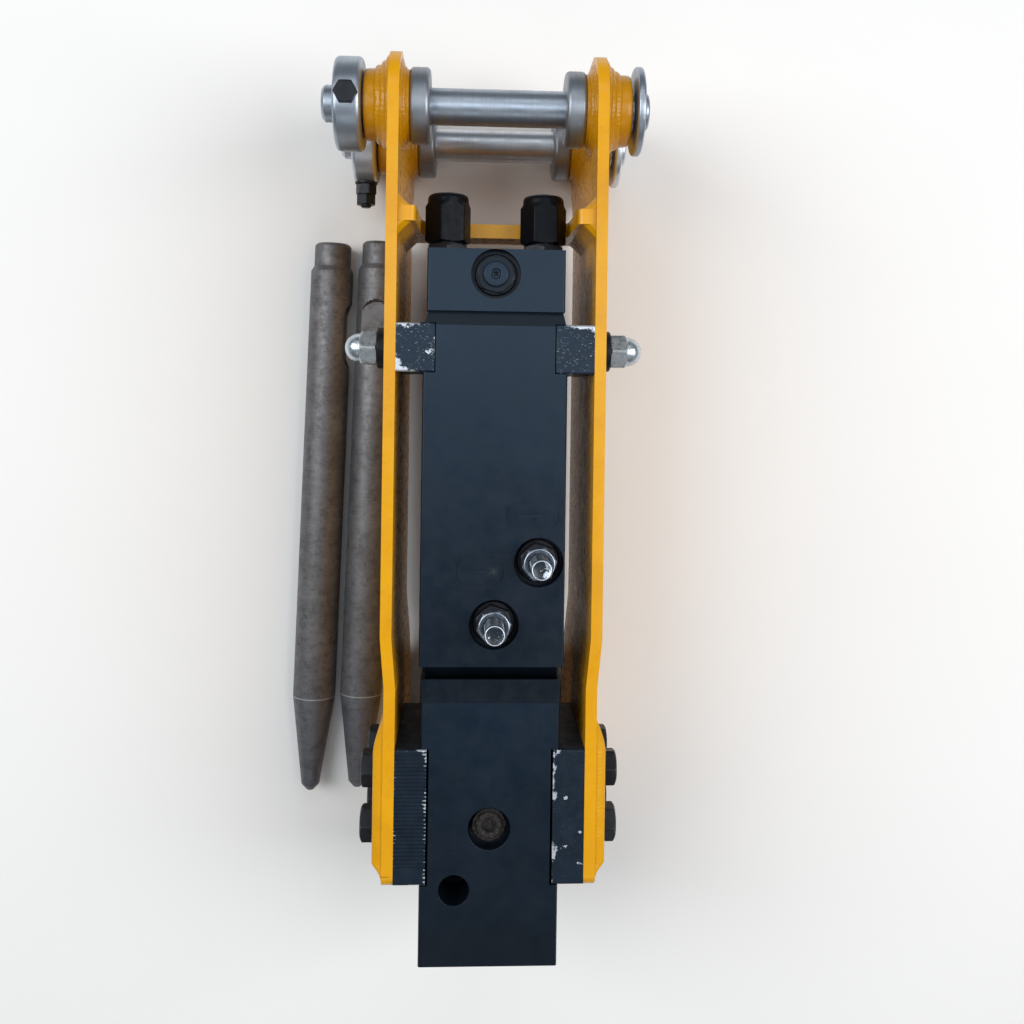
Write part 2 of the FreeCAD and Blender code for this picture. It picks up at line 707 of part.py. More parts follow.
def valve_sleeve():
    sleeve = tube(VALVE_POCKET_R, SLEEVE_BORE_R, SLEEVE[0], SLEEVE[1], (0, VALVE_Z), Y_AXIS)
    for y in (411.0, 425.0, 452.0):
        sleeve = sleeve.cut(tube(VALVE_POCKET_R + 1, VALVE_POCKET_R - 2, y - 4, y + 4,
                                 (0, VALVE_Z), Y_AXIS))
        sleeve = sleeve.cut(rod(2.5, -20, 20, (y, VALVE_Z), X_AXIS))
    return sleeve


def valve_spool():
    low, high = SPOOL
    waist = SPOOL_R - 2.5
    return lathe([
        (low, SPOOL_R), (low + 14, SPOOL_R), (low + 14, waist), (low + 24, waist),
        (low + 24, SPOOL_R), (low + 38, SPOOL_R), (low + 38, waist), (low + 48, waist),
        (low + 48, SPOOL_R), (high, SPOOL_R),
    ], (0, VALVE_Z), Y_AXIS)


def valve_plug():
    return rod(VALVE_POCKET_R, SLEEVE[1], BACK_HEAD_Y, (0, VALVE_Z), Y_AXIS)


def back_head():
    head = box((-HEAD_HALF_X, HEAD_HALF_X), (BACK_HEAD_Y, BODY_TOP_Y), (-FACE_Z, FACE_Z))
    head = chamfer_along(head, Y_AXIS, EDGE)
    cuts = [
        rod(GAS_R, BACK_HEAD_Y - 1, GAS_TOP_Y, (0, 0), Y_AXIS),
        rod(SINK_R, FACE_Z - SINK_DEPTH, 80, CHARGE_AT, Z_AXIS),
        rod(8.0, 20, 80, CHARGE_AT, Z_AXIS),
    ]
    for side in (-1, 1):
        x = side * PORT_X
        cuts.append(rod(PORT_R, BODY_TOP_Y - PORT_DEPTH, BODY_TOP_Y + 1, (x, 0), Y_AXIS))
        cuts.append(rod(PASSAGE_R, BACK_HEAD_Y - 1, BODY_TOP_Y, (x, 0), Y_AXIS))
    for place in tie_places():
        cuts.append(rod(TIE_HOLE_R, BACK_HEAD_Y - 1, BODY_TOP_Y + 1, place, Y_AXIS))
        cuts.append(rod(TIE_SINK_R, BODY_TOP_Y - TIE_HEAD, BODY_TOP_Y + 1, place, Y_AXIS))
    return cut_all(head, cuts)


def through_bolts():
    """Socket head bolts sunk in the back head and screwed into the front head."""
    bolts = []
    seat = BODY_TOP_Y - TIE_HEAD
    top = BODY_TOP_Y - 1
    for place in tie_places():
        bolt = lathe([(TIE_FOOT_Y, TIE_R), (seat, TIE_R), (seat, TIE_HEAD_R),
                      (top - 1.5, TIE_HEAD_R), (top, TIE_HEAD_R - 1.5)], place, Y_AXIS)
        bolts.append(bolt.cut(hexagon(12.0, top - 7, top + 1, place, Y_AXIS)))
    return bolts


# ---- valves on the front face -----------------------------------------------------------------
def charging_valve():
    at = CHARGE_AT
    seat = FACE_Z - SINK_DEPTH
    thread = rod(8.0, GAS_R + 2, seat, at, Z_AXIS)
    flange = lathe([(seat, 16.5), (seat + 3, 16.5), (seat + 4, 15.5)], at, Z_AXIS)
    body = nut_blank(27.0, seat + 4, seat + 9.5, at, Z_AXIS, 15)
    collar = lathe([(seat + 9.5, 9.8), (seat + 12, 9.8), (seat + 13, 8.8)], at, Z_AXIS)
    valve = fuse_all([thread, flange, body, collar])
    return valve.cut(rod(4.0, GAS_R, 90, at, Z_AXIS))


def charging_valve_plug():
    at = CHARGE_AT
    top = FACE_Z - SINK_DEPTH + 11.5
    plug = lathe([(GAS_R + 8, 4.0), (top - 1, 4.0), (top, 3.2)], at, Z_AXIS)
    return plug.cut(hexagon(4.0, top - 4, top + 1, at, Z_AXIS))


def adjuster_body(at):
    seat = FACE_Z - SINK_DEPTH
    thread = rod(10.0, seat - 12, seat, at, Z_AXIS)
    flange = lathe([(seat, 17.0), (seat + 2.5, 17.0), (seat + 3.5, 16.0)], at, Z_AXIS)
    body = nut_blank(27.0, seat + 3.5, seat + 11, at, Z_AXIS, 10)
    bore = rod(ADJUSTER_STUD_R + RUN_GAP, seat - 13, 90, at, Z_AXIS)
    return fuse_all([thread, flange, body]).cut(bore)


def adjuster_nut(at):
    seat = FACE_Z - SINK_DEPTH + 11
    nut = nut_blank(24.0, seat, seat + 13, at, Z_AXIS, 40, True)
    return nut.cut(rod(ADJUSTER_STUD_R + RUN_GAP, seat - 1, seat + 20, at, Z_AXIS))


def adjuster_stud(at):
    """Threaded stud with a screwdriver slot, standing out of its lock nut."""
    foot = FACE_Z - SINK_DEPTH - 12
    top = FACE_Z + ADJUSTER_STUD_RISE
    r = ADJUSTER_STUD_R
    stud = lathe([(foot, r - 1), (foot + 1, r), (top - 1.6, r), (top, r - 1.6)], at, Z_AXIS)
    grooves = []
    z = FACE_Z + 14.0
    while z < top - 4:
        ring = Part.makeTorus(r + 0.35, 0.9, V(at[0], at[1], z), Z_AXIS)
        grooves.append(ring)
        z += 2.4
    return cut_all(stud, grooves)


# ---- hose adapters ----------------------------------------------------------------------------
def hose_adapter(x):
    at = (x, 0)
    seat = BODY_TOP_Y + 2.5
    thread = rod(PORT_R, BODY_TOP_Y - PORT_DEPTH + 3, seat, at, Y_AXIS)
    body = nut_blank(32.0, seat, CAP[0] - 1.5, at, Y_AXIS, 30)
    nose = lathe([(CAP[0] - 1.5, CAP_BORE_R - 0.5), (NOSE_TOP_Y - 3, CAP_BORE_R - 0.5),
                  (NOSE_TOP_Y, CAP_BORE_R - 3.5)], at, Y_AXIS)
    adapter = fuse_all([thread, body, nose])
    return adapter.cut(rod(6.5, BODY_TOP_Y - PORT_DEPTH, NOSE_TOP_Y + 1, at, Y_AXIS))


def adapter_seal(x):
    return tube(15.0, PORT_R, BODY_TOP_Y, BODY_TOP_Y + 2.5, (x, 0), Y_AXIS)


def port_cap(x, turn):
    """Blanking cap: hexagon with a round, domed top and a blind bore."""
    at = (x, 0)
    low, high = CAP
    skirt = hexagon(CAP_AF, low, CAP_HEX_TOP_Y, at, Y_AXIS, turn)
    r = CAP_AF / math.sqrt(3)
    top_r = CAP_AF / 2 + 0.6
    skirt = skirt.common(lathe([(low, r - 1.2), (low + 1.5, r), (CAP_HEX_TOP_Y - 4, r),
                                (CAP_HEX_TOP_Y, top_r - 0.4)], at, Y_AXIS))
    crown = lathe([(CAP_HEX_TOP_Y - 6, top_r), (high - 3.2, top_r), (high - 1.2, top_r - 2),
                   (high, top_r - 6)], at, Y_AXIS)
    return fuse_all([skirt, crown]).cut(rod(CAP_BORE_R, low - 1, NOSE_TOP_Y + 2, at, Y_AXIS))


# ---- pins ---------------------------------------------------------------------------------------
def carrier_pin(z, bolt_axis):
    """Pin with its head disc, drilled across for the collar's bolt."""
    at = (PIN_Y, z)
    low, high = PIN_X
    pin = lathe([
        (low, PIN_R - 2.5), (low + 2.5, PIN_R), (DISC_X[0], PIN_R), (DISC_X[0], DISC_R - 1),
        (DISC_X[0] + 1, DISC_R), (DISC_X[1] - 1, DISC_R), (DISC_X[1], DISC_R - 1),
        (DISC_X[1], PIN_R), (high - 1, PIN_R), (high, PIN_R - 1),
    ], at, X_AXIS)
    return pin.cut(bolt_hole(z, bolt_axis))


def bolt_hole(z, bolt_axis):
    middle = (COLLAR_X[0] + COLLAR_X[1]) / 2
    start = V(middle, PIN_Y, z) - bolt_axis * 60
    return Part.makeCylinder(COLLAR_BOLT_R, 120, start, bolt_axis)


def pin_collar(z, bolt_axis):
    low, high = COLLAR_X
    collar = lathe([(low, COLLAR_R - 2.5), (low + 2.5, COLLAR_R), (high - 2.5, COLLAR_R),
                    (high, COLLAR_R - 2.5)], (PIN_Y, z), X_AXIS)
    collar = collar.cut(rod(PIN_R, low - 1, high + 1, (PIN_Y, z), X_AXIS))
    collar = collar.cut(bolt_hole(z, bolt_axis))
    middle = V((low + high) / 2, PIN_Y, z)
    for side in (-1, 1):
        base = middle + bolt_axis * (side * COLLAR_FLAT)
        collar = collar.cut(Part.makeCylinder(12.0, 20, base, bolt_axis * side))
    return collar


def across_collar(shape, z, bolt_axis, side):
    """Place a piece made along +X from 0 at the collar, pointing along side * bolt_axis."""
    placed = shape.copy()
    turn = FreeCAD.Rotation(X_AXIS, bolt_axis * side)
    placed.Placement = FreeCAD.Placement(V((COLLAR_X[0] + COLLAR_X[1]) / 2, PIN_Y, z), turn)
    return placed


def collar_bolt(z, bolt_axis, side):
    """Bolt through collar and pin; side says which way its head points."""
    head = nut_blank(COLLAR_BOLT_AF, COLLAR_FLAT, COLLAR_FLAT + 6.4, (0, 0), X_AXIS, 90)
    shank = rod(COLLAR_BOLT_R, -COLLAR_FLAT - 25, COLLAR_FLAT, (0, 0), X_AXIS)
    return across_collar(fuse_all([head, shank]), z, bolt_axis, side)


def collar_nuts(z, bolt_axis, side):
    """Washer, nut and lock nut on the bolt's other end."""
    washer = tube(COLLAR_WASHER_R, COLLAR_BOLT_R, COLLAR_FLAT, COLLAR_FLAT + 3.0, (0, 0), X_AXIS)
    nuts = [across_collar(washer, z, bolt_axis, side)]
    start = COLLAR_FLAT + 3.0
    for height, turn in ((10.0, 8.0), (9.5, 24.0)):
        nut = nut_blank(COLLAR_BOLT_AF, start, start + height, (0, 0), X_AXIS, turn, True)
        nut = nut.cut(rod(COLLAR_BOLT_R, 0, 90, (0, 0), X_AXIS))
        nuts.append(across_collar(nut, z, bolt_axis, side))
        start += height
    return nuts


# ---- chisels --------------------------------------------------------------------------------------
def chisel(top, lean, roll):
    """Moil point chisel made point down along -Y from its top end, then leaned and laid in place."""
    body = lathe([
        (-CHISEL_LENGTH, 3.0), (-CHISEL_LENGTH + 6, 8.5), (-CHISEL_LENGTH + CHISEL_CONE, TOOL_R),
        (-CHISEL_NECK - 5, TOOL_R), (-CHISEL_NECK, CHISEL_NECK_R), (-2.5, CHISEL_NECK_R),
        (0, CHISEL_NECK_R - 2.5),
    ], (0, 0), Y_AXIS)
    low, high = CHISEL_FLAT
    flat_z = TOOL_R - CHISEL_FLAT_DEPTH
    half = math.sqrt(TOOL_R ** 2 - flat_z ** 2) + 0.5
    slot = box((-half, half), (-high + half, -low - half), (flat_z, TOOL_R + 5))
    ends = [rod(half, flat_z, TOOL_R + 5, (0, y), Z_AXIS) for y in (-high + half, -low - half)]
    body = cut_all(body, [slot] + ends)
    body.rotate(V(0, 0, 0), Y_AXIS, roll)
    body.rotate(V(0, 0, 0), Z_AXIS, -lean)
    body.translate(V(top[0], top[1], REST_Z + TOOL_R))
    return body


# ---- the assembly ---------------------------------------------------------------------------------
def assembly():
    """Every node's solids, by name."""
    parts = {
        "side_plate_right": [side_plate()],
        "side_plate_left": [mirrored(side_plate())],
        "bolt_pads": both_sides(bolt_pad()),
        "arm_bosses": both_sides(boss(ARM_PIN_Z)),
        "link_bosses": both_sides(boss(LINK_PIN_Z)),
        "boss_welds_right": boss_welds(),
        "boss_welds_left": [mirrored(ring) for ring in boss_welds()],
        "arm_bush_right": [flanged_bush(ARM_PIN_Z)],
        "arm_bush_left": [mirrored(flanged_bush(ARM_PIN_Z))],
        "link_bush_right": [flanged_bush(LINK_PIN_Z)],
        "link_bush_left": [mirrored(flanged_bush(LINK_PIN_Z))],
        "cross_plate": [cross_plate()],
        "cross_plate_welds": cross_plate_welds(),
        "upper_key_right": [upper_key()],
        "upper_key_left": [mirrored(upper_key())],
        "lower_key_right": [lower_key(False)],
        "lower_key_left": [mirrored(lower_key(True))],
        "upper_key_studs": both_sides(upper_key_stud()),
        "upper_key_spacers": both_sides(upper_key_spacer()),
        "dome_nuts": both_sides(dome_nut()),
        "lower_key_bolts": lower_key_bolts() + [mirrored(bolt) for bolt in lower_key_bolts()],
        "front_head": [front_head()],
        "lower_tool_bush": [lower_tool_bush()],
        "upper_tool_bush": [upper_tool_bush()],
        "thrust_ring": [thrust_ring()],
        "bush_lock_plug": [bush_lock_plug()],
        "tool_retainer_pin": [tool_retainer_pin()],
        "retainer_plug": [retainer_plug()],
        "cylinder": [cylinder()],
        "piston": [piston()],
        "dust_seal": [seal(DUST_SEAL_Y, STEM_R + RUN_GAP)],
        "stem_seals": [seal(y, STEM_R + RUN_GAP) for y in STEM_SEALS],
        "seal_carrier": [seal_carrier()],
        "gas_seals": [seal(y, TAIL_R + RUN_GAP) for y in GAS_SEALS],
        "carrier_o_rings": o_rings(),
        "valve_sleeve": [valve_sleeve()],
        "valve_spool": [valve_spool()],
        "valve_plug": [valve_plug()],
        "back_head": [back_head()],
        "through_bolts": through_bolts(),
        "charging_valve": [charging_valve()],
        "charging_valve_plug": [charging_valve_plug()],
        "adjuster_bodies": [adjuster_body(UPPER_ADJUSTER_AT), adjuster_body(LOWER_ADJUSTER_AT)],
        "adjuster_nuts": [adjuster_nut(UPPER_ADJUSTER_AT), adjuster_nut(LOWER_ADJUSTER_AT)],
        "upper_adjuster_stud": [adjuster_stud(UPPER_ADJUSTER_AT)],
        "lower_adjuster_stud": [adjuster_stud(LOWER_ADJUSTER_AT)],
        "hose_adapters": [hose_adapter(-PORT_X), hose_adapter(PORT_X)],
        "adapter_seals": [adapter_seal(-PORT_X), adapter_seal(PORT_X)],
        "port_cap_left": [port_cap(-PORT_X, 14)],
        "port_cap_right": [port_cap(PORT_X, 4)],
    }
    pins = {"arm_pin": (ARM_PIN_Z, Z_AXIS, 1), "link_pin": (LINK_PIN_Z, Y_AXIS, 1)}
    for name, (z, bolt_axis, head_side) in pins.items():
        parts[name] = [carrier_pin(z, bolt_axis)]
        parts[name + "_collar"] = [pin_collar(z, bolt_axis)]
        parts[name + "_bolt"] = [collar_bolt(z, bolt_axis, head_side)]
        parts[name + "_nuts"] = collar_nuts(z, bolt_axis, -head_side)
    for name, place in CHISELS.items():
        parts[name] = [chisel(place["top"], place["lean"], place["roll"])]
    return parts


os.makedirs("parts", exist_ok=True)
for node, solids in assembly().items():
    shape = solids[0] if len(solids) == 1 else Part.makeCompound(solids)
    if not shape.isValid() or len(shape.Solids) != len(solids):
        raise SystemExit(node + " isn't made of the right number of valid solids")
    shape.exportStep("parts/" + node + ".step")
    print(node, len(shape.Solids), round(shape.Volume / 1000, 1), "cm3")
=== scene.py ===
import json
import math

import bmesh
import bpy
from mathutils import Matrix, Vector, noise


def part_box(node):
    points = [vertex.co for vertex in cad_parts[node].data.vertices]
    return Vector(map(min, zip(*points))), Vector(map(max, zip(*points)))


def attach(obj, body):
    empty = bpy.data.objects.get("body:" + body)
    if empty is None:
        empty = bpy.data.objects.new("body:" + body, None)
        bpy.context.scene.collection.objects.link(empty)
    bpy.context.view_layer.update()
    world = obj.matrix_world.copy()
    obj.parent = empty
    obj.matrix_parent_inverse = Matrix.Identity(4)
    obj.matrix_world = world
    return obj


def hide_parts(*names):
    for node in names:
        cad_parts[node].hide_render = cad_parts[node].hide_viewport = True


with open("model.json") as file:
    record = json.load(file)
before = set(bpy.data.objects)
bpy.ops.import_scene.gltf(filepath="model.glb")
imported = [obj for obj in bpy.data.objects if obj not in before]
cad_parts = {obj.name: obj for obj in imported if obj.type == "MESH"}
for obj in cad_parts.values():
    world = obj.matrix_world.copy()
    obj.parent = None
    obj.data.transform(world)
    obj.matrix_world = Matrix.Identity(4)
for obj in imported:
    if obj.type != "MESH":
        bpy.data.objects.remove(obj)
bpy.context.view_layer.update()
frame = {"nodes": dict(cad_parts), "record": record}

# Looks of the hydraulic breaker hammer. Sizes are in millimetres, as in the CAD, and mesh points
# are turned into metres when an object is made. Places are in the frame of the CAD: the tool's axis
# is Y, the pins are at its far end, and the front face looks along +Z.

MM = 0.001
FRONT_Z = 66.0                 # the breaker body's front face
SEAT = 54.0                    # floor of the counterbores in it
PLATE_IN = 78.0                # side plates at the pins, inner and outer face
PLATE_OUT = 87.0
PIN_Y = 682.4
PIN_Z = {"arm": 21.0, "link": -119.0}
PIN_R = 15.0
BUSH_R = 21.0
BOSS_R = 29.0
PORT_X = 40.0
TOOL_R = 20.0
PLATE_FOOT_Z = -164.0
BODY_OF = {n: b for b, nodes in frame["record"]["behaviour"]["bodies"].items() for n in nodes}


def span(node):
    """A CAD node's lowest and highest corners, in millimetres."""
    low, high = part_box(node)
    return low / MM, high / MM


# ---- material building ----
class Paint:
    """Builds one procedural material on object coordinates, which are the frame's, in metres."""

    def __init__(self, name):
        self.material = bpy.data.materials.new(name)
        self.material.use_nodes = True
        self.tree = self.material.node_tree
        self.tree.nodes.clear()
        self.out = self.add("ShaderNodeOutputMaterial")
        self.shader = self.add("ShaderNodeBsdfPrincipled")
        self.tree.links.new(self.shader.outputs[0], self.out.inputs[0])
        self.where = self.add("ShaderNodeTexCoord").outputs["Object"]

    def add(self, kind, inputs=(), **settings):
        """A node with its settings, and its inputs as {name or number: link or value}."""
        node = self.tree.nodes.new(kind)
        for key, value in settings.items():
            setattr(node, key, value)
        for key, value in dict(inputs).items():
            self.put(node.inputs[key], value)
        return node

    def put(self, socket, value):
        if isinstance(value, bpy.types.NodeSocket):
            self.tree.links.new(value, socket)
        elif socket.type == "RGBA":
            socket.default_value = (*value, 1.0)
        else:
            socket.default_value = value

    def math(self, operation, a, b=0.0, clamp=False):
        return self.add("ShaderNodeMath", {0: a, 1: b}, operation=operation, use_clamp=clamp).outputs[0]

    def plus(self, a, b, clamp=False):
        return self.math("ADD", a, b, clamp)

    def minus(self, a, b, clamp=False):
        return self.math("SUBTRACT", a, b, clamp)

    def times(self, a, b):
        return self.math("MULTIPLY", a, b)

    def stretched(self, scale, turn=(0, 0, 0)):
        inputs = {"Vector": self.where, "Scale": scale, "Rotation": turn}
        return self.add("ShaderNodeMapping", inputs).outputs[0]

    def noise(self, scale, detail=3.0, rough=0.55, source=None):
        inputs = {"Vector": source or self.where, "Scale": scale, "Detail": detail, "Roughness": rough}
        return self.add("ShaderNodeTexNoise", inputs).outputs["Fac"]

    def cells(self, scale):
        """Distance to the nearest of many scattered points."""
        return self.add("ShaderNodeTexVoronoi", {"Vector": self.where, "Scale": scale}).outputs["Distance"]

    def ramp(self, factor, *stops):
        """Stops are (position, grey value)."""
        node = self.add("ShaderNodeValToRGB", {0: factor})
        points = node.color_ramp.elements
        while len(points) < len(stops):
            points.new(0.5)
        for point, (position, value) in zip(points, stops):
            point.position = position
            point.color = (value, value, value, 1.0)
        return node.outputs[0]

    def patches(self, scale, detail, rough, low, high):
        """Noise turned into patches: 0 where it is under low, 1 where it is over high."""
        return self.ramp(self.noise(scale, detail, rough), (low, 0.0), (high, 1.0))

    def mix(self, factor, a, b):
        node = self.add("ShaderNodeMix", {"Factor": factor, "A": a, "B": b}, data_type="RGBA")
        return next(s for s in node.outputs if s.type == "RGBA")

    def blend_value(self, factor, a, b):
        return self.add("ShaderNodeMix", {"Factor": factor, "A": a, "B": b}, data_type="FLOAT").outputs[0]

    def axes(self):
        return self.add("ShaderNodeSeparateXYZ", {0: self.where}).outputs[:3]

    def near(self, x, y, radius):
        """1 at a point of the front face (mm), falling to 0 at a radius (mm)."""
        point = Vector((x, y, FRONT_Z)) * MM
        node = self.add("ShaderNodeVectorMath", {0: self.where, 1: point}, operation="DISTANCE")
        share = self.math("DIVIDE", node.outputs["Value"], radius * MM)
        return self.minus(1.0, share, clamp=True)

    def edge_distance(self, low, high):
        """Distance in mm from a surface point to the nearest edge of the box low..high (mm)."""
        depths = []
        for i, value in enumerate(self.axes()):
            centre = (low[i] + high[i]) / 2 * MM
            half = (high[i] - low[i]) / 2 * MM
            off = self.math("ABSOLUTE", self.minus(value, centre))
            depths.append(self.math("ABSOLUTE", self.minus(half, off)))
        a, b, c = depths
        inner = self.math("MINIMUM", self.math("MAXIMUM", a, b), c)
        middle = self.math("MAXIMUM", self.math("MINIMUM", a, b), inner)
        return self.times(middle, 1 / MM)

    def bump(self, height, depth, normal=None):
        """Surface relief: height runs 0 to 1, depth is its size in mm."""
        inputs = {"Strength": 1.0, "Distance": depth * MM, "Height": height}
        if normal is not None:
            inputs["Normal"] = normal
        return self.add("ShaderNodeBump", inputs).outputs[0]

    def finish(self, colour, rough, metal=0.0, normal=None, coat=0.0, specular=0.5):
        values = {"Base Color": colour, "Roughness": rough, "Metallic": metal, "Coat Weight": coat,
                  "Coat Roughness": 0.2, "Specular IOR Level": specular}
        if normal is not None:
            values["Normal"] = normal
        for key, value in values.items():
            self.put(self.shader.inputs[key], value)
        return self.material


# ---- materials ----
YELLOW = (0.75, 0.355, 0.004)
YELLOW_DEEP = (0.64, 0.275, 0.002)
BLACK = (0.0030, 0.0060, 0.0105)
# bluish grey for both the painted sheen and the dust on the black paint
BLACK_DUST_AND_SHEEN = (0.009, 0.021, 0.038)
CHIP = (0.40, 0.44, 0.49)


def yellow_paint(name="yellow_paint", tone=YELLOW, deep=YELLOW_DEEP):
    """Sprayed paint with orange peel, faint clouds and some grime."""
    p = Paint(name)
    cloud = p.noise(14, 4)
    grime = p.patches(60, 5, 0.65, 0.50, 0.78)
    colour = p.mix(p.ramp(cloud, (0.3, 0.0), (0.75, 1.0)), tone, deep)
    colour = p.mix(p.times(grime, 0.16), colour, (0.32, 0.13, 0.02))
    peel = p.noise(520, 2, 0.4)
    waves = p.noise(45, 2)
    normal = p.bump(waves, 0.06, p.bump(peel, 0.025))
    rough = p.ramp(p.noise(160, 4), (0.35, 0.24), (0.7, 0.38))
    return p.finish(colour, rough, normal=normal, coat=0.12, specular=0.32)


def black_paint(name, low, high, painted_sheen, chips):
    """Black paint on a machined block: a painted bluish sheen that runs from painted_sheen[0] at the
    block's foot to painted_sheen[1] at its top, mostly on the front face, with fine dust, fine scuffs, and
    wear at the edges.

    chips are (x, y, reach, strength) on the front face."""
    p = Paint(name)
    dust = p.patches(22, 6, 0.7, 0.42, 0.80)
    # Painted sheen: a bluish lift that grows from the block's foot to its top and is weak off the front face.
    # The noise patches in it are dust.
    sheen_rise = p.add("ShaderNodeMapRange", {
        "Value": p.axes()[1], "From Min": low[1] * MM, "From Max": high[1] * MM,
        "To Min": painted_sheen[0], "To Max": painted_sheen[1],
    })
    dust_and_sheen = p.plus(sheen_rise.outputs[0], p.times(dust, 0.22), clamp=True)
    front = p.math("GREATER_THAN", p.axes()[2], (high[2] - 0.5) * MM)
    dust_and_sheen = p.times(dust_and_sheen, p.plus(0.15, p.times(front, 0.85)))
    colour = p.mix(dust_and_sheen, BLACK, BLACK_DUST_AND_SHEEN)
    specks = p.ramp(p.cells(330), (0.02, 1.0), (0.075, 0.0))
    rare = p.ramp(p.noise(35, 3), (0.52, 0.0), (0.62, 1.0))
    specks = p.times(specks, rare)
    colour = p.mix(p.times(specks, 0.6), colour, (0.13, 0.15, 0.18))
    scuff = p.noise(1.0, 5, 0.7, p.stretched((900, 40, 60), (0, 0, 0.3)))
    scuff = p.ramp(scuff, (0.66, 0.0), (0.74, 1.0))
    colour = p.mix(p.times(scuff, 0.25), colour, (0.06, 0.075, 0.095))
    edge = p.edge_distance(low, high)
    wear = p.minus(p.noise(240, 5, 0.7), p.times(edge, 0.16))
    for x, y, radius, strength in chips:
        wear = p.plus(wear, p.times(p.near(x, y, radius), strength))
    chip = p.ramp(wear, (0.64, 0.0), (0.67, 1.0))
    colour = p.mix(chip, colour, CHIP)
    rough = p.ramp(p.noise(70, 5, 0.65), (0.3, 0.26), (0.72, 0.44))
    rough = p.plus(rough, p.times(dust, 0.08))
    peel = p.noise(480, 3)
    cutter = p.noise(1.0, 2, 0.5, p.stretched((30, 2600, 2600)))
    normal = p.bump(peel, 0.025, p.bump(cutter, 0.012, p.bump(chip, -0.08)))
    metal = p.times(chip, 0.85)
    return p.finish(colour, rough, metal, normal, coat=0.04, specular=0.2)


def chipped_key(name, low, high, painted_sheen, spots, amount, specks, ridges):
    """A key block's black paint, knocked off at its edges and corners down to bright steel.

    spots are (x, y, reach, strength) on the front face, amount adds wear everywhere, specks are
    small bright ticks and ridges wear the crests of the milling marks. painted_sheen is a painted bluish
    sheen laid over the dust, set higher on the upper keys."""
    ridge_pitch = 3.0
    p = Paint(name)
    dust = p.patches(60, 6, 0.7, 0.4, 0.8)
    # Painted sheen: painted_sheen lifts the black towards bluish grey, more on the upper keys. The noise
    # patches are dust.
    colour = p.mix(p.plus(p.times(dust, 0.5), painted_sheen), BLACK, BLACK_DUST_AND_SHEEN)
    edge = p.edge_distance(low, high)
    large = p.noise(130, 6, 0.75)
    fine = p.noise(900, 3, 0.6)
    wear = p.plus(p.times(large, 0.75), p.times(fine, 0.25))
    wear = p.plus(wear, amount)
    wear = p.minus(wear, p.times(p.math("MINIMUM", edge, 8.0), 0.045))
    for x, y, radius, strength in spots:
        wear = p.plus(wear, p.times(p.near(x, y, radius), strength))
    if ridges:
        crest = p.math("SINE", p.times(p.axes()[1], 2 * math.pi / (ridge_pitch * MM)))
        wear = p.plus(wear, p.times(crest, ridges))
    chip = p.ramp(wear, (0.555, 0.0), (0.575, 1.0))
    rows = p.noise(1.0, 2, 0.5, p.stretched((420, 1500, 420)))
    rows = p.times(p.ramp(rows, (0.655, 0.0), (0.71, 1.0)), specks)
    chip = p.math("MAXIMUM", chip, rows)
    bright = p.mix(p.noise(300, 4), (0.36, 0.38, 0.42), (0.74, 0.77, 0.82))
    colour = p.mix(chip, colour, bright)
    rough = p.blend_value(chip, p.ramp(p.noise(140, 4), (0.3, 0.34), (0.7, 0.52)), 0.42)
    normal = p.bump(p.noise(450, 4), 0.05, p.bump(chip, -0.12))
    return p.finish(colour, rough, p.times(chip, 0.6), normal, specular=0.22)


def turned_steel(name, centre, axis, tone=(0.42, 0.47, 0.54), dull=(0.27, 0.285, 0.31), rough=0.30,
                 lathe=0.02, stain=0.5):
    """Bare turned steel, with the lathe's fine rings about an axis through centre (mm)."""
    fine, coarse = 1500.0, 25.0
    p = Paint(name)
    values = p.axes()
    along = values[axis]
    across = [p.minus(values[i], centre[i] * MM) for i in range(3) if i != axis]
    square = p.plus(p.math("POWER", across[0], 2.0), p.math("POWER", across[1], 2.0))
    radius = p.math("SQRT", square)
    marks = {0: p.times(along, fine), 1: p.times(radius, fine), 2: p.times(across[0], coarse)}
    rings = p.noise(1.0, 3, 0.6, p.add("ShaderNodeCombineXYZ", marks).outputs[0])
    cloud = p.patches(55, 6, 0.7, 0.38, 0.75)
    colour = p.mix(p.times(cloud, stain), tone, dull)
    colour = p.mix(p.ramp(rings, (0.35, 0.0), (0.7, 0.35)), colour, dull)
    blotch = p.patches(180, 5, 0.75, 0.60, 0.72)
    colour = p.mix(p.times(blotch, 0.35 * stain), colour, (0.13, 0.10, 0.075))
    roughness = p.plus(p.times(cloud, 0.16), p.times(rings, 0.12))
    roughness = p.plus(roughness, rough - 0.04)
    return p.finish(colour, roughness, 0.90, p.bump(rings, lathe))


def black_oxide(name="black_oxide", tone=(0.012, 0.013, 0.016), oily=0.3, shine=0.2):
    """Blackened steel, a little cloudy and oily."""
    p = Paint(name)
    cloud = p.patches(130, 5, 0.65, 0.35, 0.75)
    colour = p.mix(cloud, tone, tuple(2.0 * c for c in tone))
    oil = p.patches(420, 4, 0.7, 0.62, 0.72)
    colour = p.mix(p.times(oil, oily), colour, (0.06, 0.055, 0.05))
    rough = p.ramp(p.noise(200, 4), (0.3, 0.30), (0.72, 0.50))
    return p.finish(colour, rough, 0.1, p.bump(p.noise(700, 3), 0.03), specular=shine)


